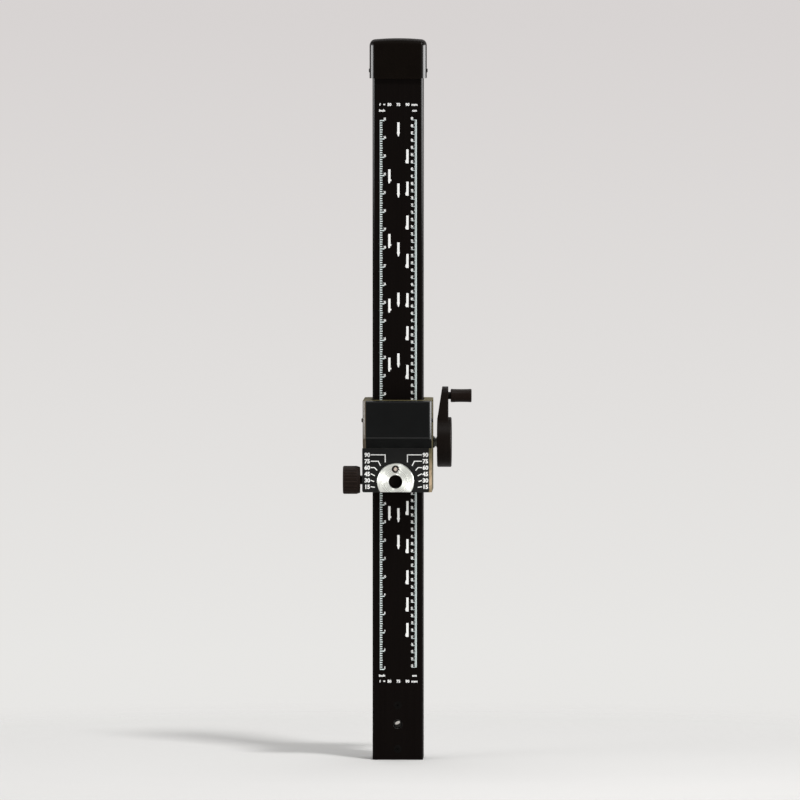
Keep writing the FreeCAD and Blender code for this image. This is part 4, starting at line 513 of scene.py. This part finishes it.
def satin_cover(colour):
    """The roller cover: glossy on its corners, brow and nose, with a painted highlight along its left edge."""
    finish = satin_black("satin_cover", colour, 0.06, 2400.0)
    across = finish.parts(finish.place)[0]
    # Painted highlight: a lighter band along the cover's left edge
    edge = COVER_LOW.x + PAINTED_HIGHLIGHT_EDGE
    left_edge_highlight = across.share(edge, edge - PAINTED_HIGHLIGHT_BLUR)
    finish.vary("Base Color", finish.mixed(left_edge_highlight, finish.layers["Base Color"], PAINTED_HIGHLIGHT_COLOUR))
    rise = finish.facing()[2]
    brow = rise.share(0.1, 0.5) * (1.0 - rise.share(0.85, 0.98))
    nose = rise.share(-0.05, -0.25) * (1.0 - rise.share(-0.4, -0.65))
    finish.vary("Coat Weight", finish.upright_corners() * 0.8 + brow * 0.8 + nose * 0.8)
    return finish.material


def turned_aluminium(colour):
    """Face-turned aluminium with painted shade in its bore and index hole: fine rings round the tilt axis tip the
    surface.
    """
    finish = Finish("turned_aluminium", {"Specular IOR Level": 0.1})
    apart = finish.vector("SUBTRACT", finish.place, tuple(TILT_AXIS))
    flat = finish.vector("MULTIPLY", apart, ACROSS_FRONT)
    radius = finish.vector("LENGTH", flat)
    outward = finish.vector("NORMALIZE", flat)
    rings = finish.noise_along(radius, 9000.0)
    bands = finish.noise_along(radius, 900.0)
    lean = (rings - 0.5) * 3.0
    tilt = finish.value(
        "ShaderNodeVectorMath", "Vector", {"operation": "SCALE"}, {"Vector": outward, "Scale": lean})
    tilt = finish.turned("VECTOR", tilt, "OBJECT", "WORLD")
    upright = finish.value("ShaderNodeNewGeometry", "Normal")
    finish.vary("Normal", finish.vector("NORMALIZE", finish.vector("ADD", upright, tilt)))
    index_centre = (INDEX_LOW + INDEX_HIGH) / 2
    # Painted shade: the bore and the index hole darkened
    hole_shade = finish.math(
        "MAXIMUM", finish.near(TILT_AXIS, HEAD_BORE_RADIUS, DISC_LOW.y),
        finish.near(index_centre, INDEX_HOLE_RADIUS, DISC_LOW.y))
    metal = finish.shades(bands, colour, 0.86, 1.05)
    finish.vary("Base Color", finish.mixed(hole_shade, metal, HOLE_SHADE_COLOUR))
    finish.vary("Metallic", 1.0 - hole_shade)
    finish.vary("Roughness", 0.22 + bands * 0.14 + hole_shade * 0.4)
    return finish.material


def rubbed_lock_screw(colour):
    """A dark screw head with a painted highlight in one slanting spot."""
    finish = Finish("rubbed_lock_screw", {"Metallic": 1.0})
    # Painted highlight: the lit slanting spot on the head
    centre = (LOCK_LOW + LOCK_HIGH) / 2 + LOCK_HIGHLIGHT_SHIFT
    highlight_space = finish.value(
        "ShaderNodeMapping", "Vector", {"vector_type": "TEXTURE"},
        {"Vector": finish.place, "Location": tuple(centre), "Rotation": (0.0, LOCK_HIGHLIGHT_TURN, 0.0),
         "Scale": LOCK_HIGHLIGHT_SIZE})
    flat = finish.vector("MULTIPLY", highlight_space, ACROSS_FRONT)
    wear_and_highlight = 1.0 - finish.vector("LENGTH", flat).share(0.75, 1.0)
    scratches = finish.noise(1.0, 3.0, (900.0, 900.0, 4000.0))
    finish.vary("Base Color", finish.shades(wear_and_highlight, colour, 0.03, 0.9))
    finish.vary("Roughness", 0.2 + scratches * 0.16)
    finish.relief(scratches, 0.02 * MM, 0.3)
    return finish.material


def plated_steel(name, colour, gloss, spread):
    """Plated metal with fine scratches and a cloudy sheen."""
    finish = Finish(name, {"Metallic": 1.0})
    clouds = finish.noise(160.0, 4.0)
    scratches = finish.noise(1.0, 3.0, (4000.0, 700.0, 700.0))
    finish.vary("Base Color", finish.shades(clouds, colour, 0.8, 1.12))
    finish.vary("Roughness", gloss + clouds * spread + scratches * 0.06)
    finish.relief(scratches, 0.02 * MM, 0.25)
    return finish.material


def zinc_plate(colour):
    """Dull zinc on screws, rack and shaft."""
    return plated_steel("zinc_plate", colour, 0.24, 0.22)


def polished_spring(colour):
    """Blue-grey polished spring steel."""
    return plated_steel("polished_spring", colour, 0.16, 0.14)


def dark_chrome(colour):
    """Collar and bush beside the crank."""
    return plated_steel("dark_chrome", colour, 0.05, 0.05)


def blackened_steel(colour):
    """Oil-blacked screws."""
    return plated_steel("blackened_steel", colour, 0.30, 0.2)


def turned_brass(colour):
    """Brass with a little tarnish."""
    finish = Finish("turned_brass", {"Metallic": 1.0})
    tarnish = finish.noise(220.0, 4.0)
    finish.vary("Base Color", finish.shades(tarnish, colour, 0.65, 1.15))
    finish.vary("Roughness", 0.16 + tarnish * 0.24)
    return finish.material


def natural_acetal(colour):
    """Waxy off-white plastic."""
    finish = Finish("natural_acetal", {"Specular IOR Level": 0.45})
    clouds = finish.noise(90.0, 3.0)
    finish.vary("Base Color", finish.shades(clouds, colour, 0.9, 1.05))
    finish.vary("Roughness", 0.38 + clouds * 0.14)
    finish.relief(finish.noise(1400.0), 0.03 * MM, 0.3)
    return finish.material


def ground_rubber(colour):
    """Matt rubber with a ground face."""
    finish = Finish("ground_rubber", {"Specular IOR Level": 0.3})
    grit = finish.noise(1.0, 3.0, (500.0, 2600.0, 2600.0))
    finish.vary("Base Color", finish.shades(grit, colour, 0.7, 1.5))
    finish.vary("Roughness", 0.7 + grit * 0.2)
    finish.relief(grit, 0.05 * MM, 0.6)
    return finish.material


def rough_iron(colour):
    """Sand-cast iron."""
    finish = Finish("rough_iron", {"Metallic": 0.7})
    sand = finish.noise(900.0, 4.0)
    clouds = finish.noise(40.0, 4.0)
    finish.vary("Base Color", finish.shades(clouds, colour, 0.7, 1.3))
    finish.vary("Roughness", 0.55 + sand * 0.25)
    finish.relief(sand, 0.15 * MM, 0.6)
    return finish.material


def screen_ink(name, colour):
    """Screen-printed ink, a little uneven where the mesh let less through."""
    finish = Finish(name, {"Specular IOR Level": 0.3})
    mottle = finish.noise(700.0, 3.0)
    finish.vary("Base Color", finish.shades(mottle, colour, 0.9, 1.04))
    finish.vary("Roughness", 0.42 + mottle * 0.16)
    finish.relief(mottle, 0.01 * MM, 0.3)
    return finish.material


# The record's material slot, the finish it gets and the colour that drives it
SLOT_FINISHES = {
    "black_anodised": (anodised_extrusion, "extrusion"),
    "black_casting": (enamelled_casting, "casting"),
    "black_sheet": (anodised_sheet, "sheet"),
    "black_moulding": (grained_moulding, "moulding"),
    "turned_aluminium": (turned_aluminium, "aluminium"),
    "steel": (zinc_plate, "zinc"),
    "spring_steel": (polished_spring, "spring"),
    "blackened_steel": (blackened_steel, "blackened"),
    "brass": (turned_brass, "brass"),
    "glide_plastic": (natural_acetal, "acetal"),
    "rubber": (ground_rubber, "rubber"),
    "cast_iron": (rough_iron, "iron"),
}

# Pieces whose finish differs from the rest of their slot
NODE_FINISHES = {
    "column_cap": (satin_cap, "cap"),
    "front_cover": (satin_cover, "cover"),
    "foot_lock_screw": (rubbed_lock_screw, "nickel"),
    "thrust_collar": (dark_chrome, "chrome"),
    "shaft_bush": (dark_chrome, "chrome"),
    "grip_pin": (blackened_steel, "blackened"),
    "crank_arm": (smooth_moulding, "crank"),
}


# Meshes
def slab(mesh, outline, face_y, depth):
    """A thin plate of ink with the given outline of x and z, standing on a face that looks along -Y."""
    front = [mesh.verts.new((x, face_y - depth, z)) for x, z in outline]
    back = [mesh.verts.new((x, face_y, z)) for x, z in outline]
    mesh.faces.new(front)
    mesh.faces.new(list(reversed(back)))
    for index in range(len(outline)):
        after = (index + 1) % len(outline)
        mesh.faces.new((front[index], back[index], back[after], front[after]))


def ribbon(mesh, points, width, face_y, depth):
    """A line of ink of one width through points of x and z, mitred where it turns."""
    points = [Vector(point) for point in points]
    runs = [(after - before).normalized() for before, after in zip(points, points[1:])]
    left = []
    right = []
    for index, point in enumerate(points):
        before = runs[max(index - 1, 0)]
        after = runs[min(index, len(runs) - 1)]
        along = (before + after).normalized()
        across = Vector((-along.y, along.x)) * (width / 2 / max(MITRE_LIMIT, along.dot(after)))
        left.append(point + across)
        right.append(point - across)
    slab(mesh, [tuple(p) for p in left + right[::-1]], face_y, depth)


def linked(name, data):
    """A new object in the scene."""
    made = bpy.data.objects.new(name, data)
    bpy.context.scene.collection.objects.link(made)
    return made


def plain_mesh(shown):
    """What an object shows, as a mesh of its own."""
    return bpy.data.meshes.new_from_object(shown.evaluated_get(bpy.context.evaluated_depsgraph_get()))


def text_mesh(text, weight):
    """Text as a mesh one unit deep, lying flat and centred, with its strokes made bolder by a weight."""
    curve = bpy.data.curves.new("lettering", "FONT")
    curve.body = text
    curve.align_x = "CENTER"
    curve.offset = weight
    curve.extrude = 0.5
    curve.resolution_u = LETTER_STEPS
    holder = linked("lettering", curve)
    mesh = plain_mesh(holder)
    bpy.data.objects.remove(holder)
    bpy.data.curves.remove(curve)
    return mesh


class Lettering:
    """Sets plain figures and unit words on a face that looks along -Y."""

    def __init__(self, face_y, depth):
        self.mesh = bmesh.new()
        self.face_y = face_y
        self.depth = depth
        figure = text_mesh("0", 0.0)
        heights = [vertex.co.y for vertex in figure.vertices]
        self.figure_height = max(heights) - min(heights)
        bpy.data.meshes.remove(figure)

    def write(self, text, x, z, height, squeeze=1.0, weight=FIGURE_WEIGHT):
        """Adds text with its figures so high, centred on x and z."""
        letters = text_mesh(text, weight)
        scale = height / self.figure_height
        middle = self.figure_height / 2
        for vertex in letters.vertices:
            flat = vertex.co.copy()
            vertex.co.x = x + flat.x * scale * squeeze
            vertex.co.y = self.face_y - (flat.z + 0.5) * self.depth
            vertex.co.z = z + (flat.y - middle) * scale
        self.mesh.from_mesh(letters)
        bpy.data.meshes.remove(letters)


def keep(name, mesh, material):
    """Keeps a built mesh as an object with one material."""
    data = bpy.data.meshes.new(name)
    mesh.to_mesh(data)
    mesh.free()
    data.materials.append(material)
    return linked(name, data)


def new_piece(name, mesh, ink, body):
    """Keeps a built mesh as a finished piece that moves with a body."""
    bmesh.ops.remove_doubles(mesh, verts=mesh.verts, dist=MERGE_DISTANCE)
    bmesh.ops.recalc_face_normals(mesh, faces=mesh.faces)
    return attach(keep(name, mesh, ink), body)


# Geometry trees for what repeats
def tree_with_inputs(name, inputs):
    """A new geometry tree with named inputs of each kind, its graph and a value for each input."""
    tree = bpy.data.node_groups.new(name, "GeometryNodeTree")
    labels = [(label, kind) for kind, group in inputs.items() for label in group]
    for label, kind in labels:
        tree.interface.new_socket(label, in_out="INPUT", socket_type="NodeSocket" + kind)
    tree.interface.new_socket("Geometry", in_out="OUTPUT", socket_type="NodeSocketGeometry")
    graph = Graph(tree)
    given = graph.node("NodeGroupInput")
    return graph, {label: Value(graph, given.outputs[label]) for label, kind in labels}


def close_tree(graph, instances, ink):
    """Ends a geometry tree: instances made real, inked and put out."""
    solid = graph.value("GeometryNodeRealizeInstances", "Geometry", None, {"Geometry": instances})
    inked = graph.value("GeometryNodeSetMaterial", "Geometry", None, {"Geometry": solid, "Material": ink})
    graph.node("NodeGroupOutput", sockets={"Geometry": inked})
    return graph.tree


def block(graph, size, place):
    """A box of a size with its middle at a place."""
    box = graph.value("GeometryNodeMeshCube", "Mesh", None, {"Size": size})
    return graph.value("GeometryNodeTransform", "Geometry", None, {"Geometry": box, "Translation": place})


def tick_tree():
    """Ticks on a spine up a scale, longer at every middle and every main division."""
    graph, given = tree_with_inputs("scale_ticks", {
        "Int": ("Count",),
        "Vector": ("First",),
        "Float": (
            "Spacing", "Inward", "Spine Width", "Middle Every", "Main Every", "Fine Length", "Middle Length",
            "Main Length", "Thickness", "Ink Depth"),
        "Material": ("Ink",),
    })
    step = graph.joined(z=given["Spacing"])
    row = graph.value(
        "GeometryNodeMeshLine", "Mesh", {"mode": "OFFSET"},
        {"Count": given["Count"], "Start Location": given["First"], "Offset": step})
    size = graph.joined(1.0, given["Ink Depth"], given["Thickness"])
    bar = block(graph, size, graph.joined(x=given["Inward"] * 0.5))
    number = graph.value("GeometryNodeInputIndex", "Index")
    on_middle = graph.math("COMPARE", number % given["Middle Every"], 0.0, 0.5)
    on_main = graph.math("COMPARE", number % given["Main Every"], 0.0, 0.5)
    length = given["Fine Length"] + on_middle * (given["Middle Length"] - given["Fine Length"])
    length = length + on_main * (given["Main Length"] - given["Middle Length"])
    scale = graph.joined(length, 1.0, 1.0)
    ticks = graph.value(
        "GeometryNodeInstanceOnPoints", "Instances", None, {"Points": row, "Instance": bar, "Scale": scale})
    height = given["Spacing"] * (given["Count"] - 1.0) + given["Thickness"]
    spine_size = graph.joined(given["Spine Width"], given["Ink Depth"], height)
    middle = graph.joined(
        given["Inward"] * given["Spine Width"] * -0.5, 0.0, (height - given["Thickness"]) * 0.5)
    spine = block(graph, spine_size, graph.vector("ADD", given["First"], middle))
    both = graph.node("GeometryNodeJoinGeometry")
    for part in (ticks, spine):
        graph.tree.links.new(part.socket, both.inputs["Geometry"])
    return close_tree(graph, Value(graph, both.outputs["Geometry"]), given["Ink"])


def stamp_tree():
    """One shape set down on every point of a mesh."""
    graph, given = tree_with_inputs(
        "stamped_shapes", {"Geometry": ("Places",), "Object": ("Stamp",), "Material": ("Ink",)})
    shape = graph.value("GeometryNodeObjectInfo", "Geometry", None, {"Object": given["Stamp"]})
    stamps = graph.value(
        "GeometryNodeInstanceOnPoints", "Instances", None, {"Points": given["Places"], "Instance": shape})
    return close_tree(graph, stamps, given["Ink"])


def grow(name, tree, sizes, seed, body):
    """Runs a geometry tree over a seed mesh and keeps what it makes as a plain mesh on a body."""
    piece = linked(name, seed)
    modifier = piece.modifiers.new("grow", "NODES")
    modifier.node_group = tree
    for item in tree.interface.items_tree:
        if item.in_out == "INPUT" and item.name in sizes:
            modifier[item.identifier] = sizes[item.name]
    grown = plain_mesh(piece)
    piece.modifiers.remove(modifier)
    piece.data = grown
    grown.name = name
    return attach(piece, body)


# Operators
class COLUMN_OT_finishes(Operator):
    """Give every piece of the column and carriage its finish"""

    bl_idname = "column.finishes"
    bl_label = "Finishes"

    def execute(self, context):
        colours = context.scene.column_finishes
        made = {}
        for subpart in frame["record"]["subparts"]:
            node = subpart["node"]
            make, name = NODE_FINISHES.get(node) or SLOT_FINISHES[subpart["material_slot"]]
            if make not in made:
                made[make] = make(getattr(colours, name))
            for slot in frame["nodes"][node].material_slots:
                slot.material = made[make]
        return {"FINISHED"}


class HeightScale:
    """What the two height scales on the column share: ticks on a spine, and a figure at every main one."""

    def execute(self, context):
        sizes = context.scene.column_print
        white = screen_ink("white_ink_" + self.measure, sizes.white)
        mint = screen_ink("mint_ink_" + self.measure, sizes.mint)
        start_x = self.edge + self.inward * self.spine
        start_z = SCALE_ZERO + self.first * self.unit
        ticks = self.measure + "_ticks"
        grow(ticks, tick_tree(), {
            "Count": (self.last - self.first) * self.divisions + 1,
            "First": (start_x, COLUMN_LOW.y - sizes.ink_depth / 2, start_z),
            "Spacing": self.unit / self.divisions,
            "Inward": self.inward,
            "Spine Width": self.spine,
            "Middle Every": self.divisions / 2,
            "Main Every": float(self.divisions),
            "Fine Length": self.fine_length,
            "Middle Length": self.middle_length,
            "Main Length": self.main_length,
            "Thickness": getattr(sizes, self.tick),
            "Ink Depth": sizes.ink_depth,
            "Ink": mint,
        }, bpy.data.meshes.new(ticks), "column")
        figures = Lettering(COLUMN_LOW.y, sizes.ink_depth)
        for figure in range(self.first, self.last + 1):
            z = SCALE_ZERO + figure * self.unit + FIGURE_LIFT
            figures.write(str(figure), self.figure_x, z, sizes.figure_height, sizes.figure_squeeze)
        new_piece(self.measure + "_figures", figures.mesh, white, "column")
        return {"FINISHED"}


class COLUMN_OT_inch_scale(HeightScale, Operator):
    """Print the inch scale up the left of the column"""

    bl_idname = "column.inch_scale"
    bl_label = "Inch Scale"

    measure = "inch"
    tick = "inch_tick"
    unit = INCH
    first = 5
    last = 35
    divisions = 8
    inward = 1.0
    edge = -24.7 * MM
    figure_x = -17.9 * MM
    spine = 0.45 * MM
    fine_length = 2.9 * MM
    middle_length = 3.4 * MM
    main_length = 5.8 * MM


class COLUMN_OT_centimetre_scale(HeightScale, Operator):
    """Print the centimetre scale up the right of the column"""

    bl_idname = "column.centimetre_scale"
    bl_label = "Centimetre Scale"

    measure = "centimetre"
    tick = "millimetre_tick"
    unit = CENTIMETRE
    first = 13
    last = 89
    divisions = 10
    inward = -1.0
    edge = 26.4 * MM
    figure_x = 19.9 * MM
    spine = 1.0 * MM
    fine_length = 1.7 * MM
    middle_length = 2.2 * MM
    main_length = 6.4 * MM


class COLUMN_OT_arrows(Operator):
    """Print the three columns of arrows between the scales"""

    bl_idname = "column.arrows"
    bl_label = "Arrows"

    head = 5.6 * MM
    tip = 0.6 * MM
    flare = 0.5 * MM
    barb = 1.3 * MM

    def pencil(self, length, width):
        """An arrow with a head on both sides of its shaft."""
        half = width / 2
        right = [
            (half, length),
            (half, self.head + self.flare),
            (half + self.flare, self.head),
            (self.tip, 0.0),
        ]
        return right + [(-x, z) for x, z in reversed(right)]

    def barbed(self, length, width):
        """An arrow whose tip is on its shaft, with one barb higher up on the right."""
        half = width / 2
        return [
            (half, length),
            (half, self.head),
            (half + self.barb, self.head - 1.5 * self.flare),
            (half + self.barb - self.flare, self.head / 2),
            (half - self.flare, self.head / 2),
            (self.tip, 0.0),
            (-2 * self.tip, 0.0),
            (-half, self.head / 2),
            (-half, length),
        ]

    def hooked(self, length, width):
        """An arrow with a blunt lobe low down on its left."""
        half = width / 2
        return [
            (half, length),
            (half, 0.0),
            (-half + self.tip, 0.0),
            (-half - self.barb + self.flare, self.flare),
            (-half - self.barb, self.head / 2),
            (-half - self.tip, self.head - self.flare),
            (-half, self.head),
            (-half, length),
        ]

    def execute(self, context):
        sizes = context.scene.column_print
        white = screen_ink("white_ink_arrows", sizes.white)
        tree = stamp_tree()
        length = sizes.arrow_length
        width = sizes.arrow_width
        columns = (
            ("left_arrows", ARROW_MIDDLE - ARROW_COLUMN, LEFT_TIPS, self.barbed(length, width)),
            ("middle_arrows", ARROW_MIDDLE, MIDDLE_TIPS, self.pencil(length, width)),
            ("right_arrows", ARROW_MIDDLE + ARROW_COLUMN, RIGHT_TIPS, self.hooked(length, width)),
        )
        for name, x, tips, outline in columns:
            shape = bmesh.new()
            slab(shape, outline, COLUMN_LOW.y, sizes.ink_depth)
            stamp = new_piece(name + "_stamp", shape, white, "column")
            places = bpy.data.meshes.new(name)
            places.from_pydata([(x, 0.0, tip * MM) for tip in tips], [], [])
            grow(name, tree, {"Stamp": stamp, "Ink": white}, places, "column")
            bpy.data.objects.remove(stamp)
        return {"FINISHED"}


class COLUMN_OT_headings(Operator):
    """Print the headings over and under the scales"""

    bl_idname = "column.headings"
    bl_label = "Headings"

    sign_places = ((-24.6 * MM, "f"), (-18.6 * MM, "="))
    inch_x = -21.8 * MM
    unit_x = 23.3 * MM
    inch_width = 1.2
    millimetre_width = 1.2
    centimetre_width = 1.25

    def execute(self, context):
        sizes = context.scene.column_print
        white = screen_ink("white_ink_headings", sizes.white)
        words = Lettering(COLUMN_LOW.y, sizes.ink_depth)
        for z in HEADING_HEIGHTS:
            for x, sign in self.sign_places:
                words.write(sign, x, z, HEADING_SMALL)
            for step, label in enumerate(ARROW_LABELS, -1):
                words.write(label, ARROW_MIDDLE + step * ARROW_COLUMN, z, HEADING_FIGURE)
            words.write("mm", self.unit_x, z, HEADING_SMALL, self.millimetre_width)
        for z in UNIT_HEIGHTS:
            words.write("inch", self.inch_x, z, UNIT_FIGURE, self.inch_width)
            words.write("cm", self.unit_x, z, UNIT_FIGURE, self.centimetre_width)
        new_piece("headings", words.mesh, white, "column")
        return {"FINISHED"}


class COLUMN_OT_tilt_scale(Operator):
    """Print the tilt scale on the angle plate"""

    bl_idname = "column.tilt_scale"
    bl_label = "Tilt Scale"

    straight_drop = 2.0 * MM

    def leader(self, label, row):
        """From beside a label, along its row, to its place round the disc; measured from the tilt axis."""
        turn = math.radians(TILT_LEADER_OFFSET - label)
        end = Vector((math.sin(turn), math.cos(turn))) * TILT_LEADER_RADIUS
        drop = row - end.y
        if abs(drop) < self.straight_drop:
            return [Vector((TILT_LEADER_X, row)), end]
        lean = 0.0 if label == max(TILT_LABELS) else TILT_LEADER_LEAN * drop * math.tan(turn)
        bend = Vector((end.x + lean, row))
        return [Vector((TILT_LEADER_X, row)), bend, end]

    def execute(self, context):
        sizes = context.scene.column_print
        white = screen_ink("white_ink_tilt", sizes.white)
        words = Lettering(PLATE_LOW.y, sizes.ink_depth)
        middle = TILT_AXIS.x + TILT_PRINT_SHIFT
        for index, label in enumerate(TILT_LABELS):
            row = TILT_TOP_ROW - index * TILT_ROW_STEP
            for side in (-1, 1):
                x = middle + side * TILT_LABEL_X
                words.write(str(label), x, TILT_AXIS.z + row, sizes.tilt_figure, weight=TILT_WEIGHT)
                points = [(middle + side * x, TILT_AXIS.z + z) for x, z in self.leader(label, row)]
                ribbon(words.mesh, points, sizes.leader_width, PLATE_LOW.y, sizes.ink_depth)
        new_piece("tilt_scale", words.mesh, white, "carriage")
        return {"FINISHED"}


class COLUMN_OT_spring_strip(Operator):
    """Make the straight run of the counterbalance strip as one fixed mesh; the real strip draws out with the
    carriage
    """

    bl_idname = "column.spring_strip"
    bl_label = "Spring Strip"

    points_across = 9
    crown = 0.12 * MM

    def execute(self, context):
        mesh = bmesh.new()
        half = STRIP_HIGH.x
        loops = []
        for z in (STRIP_HIGH.z, STRIP_LOW.z):
            front = []
            rear = []
            for step in range(self.points_across):
                share = 2 * step / (self.points_across - 1) - 1
                bow = self.crown * share ** 2
                front.append(mesh.verts.new((half * share, STRIP_LOW.y + bow, z)))
                rear.append(mesh.verts.new((half * share, STRIP_HIGH.y - self.crown + bow, z)))
            loops.append(front + rear[::-1])
        upper, lower = loops
        for index in range(len(upper)):
            after = (index + 1) % len(upper)
            mesh.faces.new((upper[index], upper[after], lower[after], lower[index]))
        mesh.faces.new(upper[::-1])
        mesh.faces.new(lower)
        bmesh.ops.recalc_face_normals(mesh, faces=mesh.faces)
        strip = keep("drawn_strip", mesh, frame["nodes"]["spring_coil"].material_slots[0].material)
        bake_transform(strip)
        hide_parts("spring_strip")
        return {"FINISHED"}


class COLUMN_OT_stage(Operator):
    """Set up the floor, the backdrop, the lights and the camera"""

    bl_idname = "column.stage"
    bl_label = "Stage"

    floor_radius = 4.0
    floor_segments = 96
    floor_fade = (0.5, 1.25)
    sensor = 36.0
    farthest_seen = 100.0
    backdrop_bottom = -0.062
    backdrop_top = -0.007
    ceiling_start = 0.05
    ceiling_height = 0.75
    showing_rays = ("Is Camera Ray", "Is Glossy Ray", "Is Transmission Ray")
    # name, azimuth and elevation in degrees, distance, height of what it looks at, width, height and radiance
    softboxes = (
        ("key", 33.0, 61.0, 6.0, 0.45, 0.75, 0.75, 124.0),
        ("fill", -60.0, 30.0, 3.2, 0.5, 1.6, 1.6, 1.6),
        ("overhead", 180.0, 66.0, 2.4, 0.2, 1.4, 1.4, 2.4),
    )
    # The same for a low light that evens out the column's foot and leaves no reflection
    low_fill = ("low_fill", 30.0, 4.0, 1.6, 0.15, 0.8, 0.8, 3.2)
    # The same for panels that only show in reflections
    panels = (
        ("right_panel", 94.0, 0.0, 2.2, 0.86, 3.0, 1.0, 8.5),
        ("left_panel", -65.0, 0.0, 2.2, 0.86, 1.9, 1.0, 10.0),
    )

    def floor(self, colour):
        """A round floor that fades into the backdrop."""
        mesh = bmesh.new()
        bmesh.ops.create_circle(mesh, cap_ends=True, segments=self.floor_segments, radius=self.floor_radius)
        material = bpy.data.materials.new("floor")
        graph = Graph(bare_tree(material))
        place = graph.value("ShaderNodeTexCoord", "Object")
        fade = graph.vector("LENGTH", place).rising(*self.floor_fade)
        paint = graph.value("ShaderNodeBsdfDiffuse", "BSDF", None, {"Color": rgba(colour)})
        clear = graph.value("ShaderNodeBsdfTransparent", "BSDF")
        graph.node("ShaderNodeOutputMaterial", sockets={"Surface": graph.shader_mix(fade, paint, clear)})
        keep("floor", mesh, material)

    def backdrop(self, sizes):
        """A pale backdrop for the camera and for reflections, and an even light for the rest."""
        world = bpy.data.worlds.new("studio")
        graph = Graph(bare_tree(world))
        height = graph.parts(graph.value("ShaderNodeTexCoord", "Generated"))[2]
        rise = height.share(self.backdrop_bottom, self.backdrop_top)
        wall = graph.mixed(rise, rgba(sizes.backdrop_low), rgba(sizes.backdrop_high))
        overhead = height.rising(self.ceiling_start, self.ceiling_height)
        seen = graph.value("ShaderNodeBackground", "Background", None, {
            "Color": graph.mixed(overhead, wall, rgba(sizes.ceiling))})
        even = graph.value(
            "ShaderNodeBackground", "Background", None,
            {"Color": (1.0, 1.0, 1.0, 1.0), "Strength": sizes.ambient})
        path = graph.node("ShaderNodeLightPath")
        rays = [Value(graph, path.outputs[name]) for name in self.showing_rays]
        shown = graph.math("MINIMUM", rays[0] + rays[1] + rays[2], 1.0)
        graph.node("ShaderNodeOutputWorld", sockets={"Surface": graph.shader_mix(shown, even, seen)})
        bpy.context.scene.world = world

    def look_at(self, thing, aim, azimuth, elevation, distance):
        """Puts a light or a camera round a point, at a distance, and turns it to face the point."""
        level = math.cos(elevation)
        back = Vector((math.sin(azimuth) * level, -math.cos(azimuth) * level, math.sin(elevation)))
        thing.location = Vector(aim) + back * distance
        thing.rotation_euler = back.to_track_quat("Z", "Y").to_euler()

    def softbox(self, name, azimuth, elevation, distance, aim, width, height, radiance):
        """A rectangular light that looks at the column's axis."""
        data = bpy.data.lights.new(name, "AREA")
        data.shape = "RECTANGLE"
        data.size = width
        data.size_y = height
        data.energy = radiance * math.pi * width * height
        light = linked(name, data)
        self.look_at(light, (0.0, 0.0, aim), math.radians(azimuth), math.radians(elevation), distance)
        light.visible_camera = False
        return light

    def camera(self, sizes):
        """A camera a little to the right of the column, looking slightly down."""
        data = bpy.data.cameras.new("camera")
        data.sensor_width = self.sensor
        data.lens = self.sensor * sizes.camera_distance / sizes.picture_height
        data.clip_end = self.farthest_seen
        camera = linked("camera", data)
        aim = (sizes.aim_side, COLUMN_LOW.y, sizes.aim_height)
        self.look_at(camera, aim, sizes.camera_azimuth, sizes.camera_elevation, sizes.camera_distance)
        bpy.context.scene.camera = camera

    def execute(self, context):
        sizes = context.scene.column_stage
        self.floor(sizes.floor_colour)
        self.backdrop(sizes)
        for softbox in self.softboxes:
            self.softbox(*softbox)
        self.softbox(*self.low_fill).visible_glossy = False
        for panel in self.panels:
            self.softbox(*panel).visible_diffuse = False
        self.camera(sizes)
        context.scene.view_settings.view_transform = "Standard"
        return {"FINISHED"}


OPERATORS = (
    COLUMN_OT_stage, COLUMN_OT_finishes, COLUMN_OT_inch_scale, COLUMN_OT_centimetre_scale, COLUMN_OT_arrows,
    COLUMN_OT_headings, COLUMN_OT_tilt_scale, COLUMN_OT_spring_strip,
)


class COLUMN_PT_looks(Panel):
    """Lists the steps that dress the column"""

    bl_idname = "COLUMN_PT_looks"
    bl_label = "Enlarger Column"
    bl_space_type = "VIEW_3D"
    bl_region_type = "UI"
    bl_category = "Column"

    def draw(self, context):
        for operator in OPERATORS:
            self.layout.operator(operator.bl_idname)


CLASSES = (PrintSizes, FinishColours, StageSizes, *OPERATORS, COLUMN_PT_looks)


def register():
    """Registers the classes and hangs their settings on the scene."""
    for each in CLASSES:
        bpy.utils.register_class(each)
    bpy.types.Scene.column_print = PointerProperty(type=PrintSizes)
    bpy.types.Scene.column_finishes = PointerProperty(type=FinishColours)
    bpy.types.Scene.column_stage = PointerProperty(type=StageSizes)


def unregister():
    """Takes the settings and the classes away again."""
    del bpy.types.Scene.column_stage
    del bpy.types.Scene.column_finishes
    del bpy.types.Scene.column_print
    for each in reversed(CLASSES):
        bpy.utils.unregister_class(each)


def main():
    """Dresses the column step by step."""
    register()
    bpy.ops.column.stage()
    bpy.ops.column.finishes()
    bpy.ops.column.inch_scale()
    bpy.ops.column.centimetre_scale()
    bpy.ops.column.arrows()
    bpy.ops.column.headings()
    bpy.ops.column.tilt_scale()
    bpy.ops.column.spring_strip()


if __name__ == "__main__":
    main()
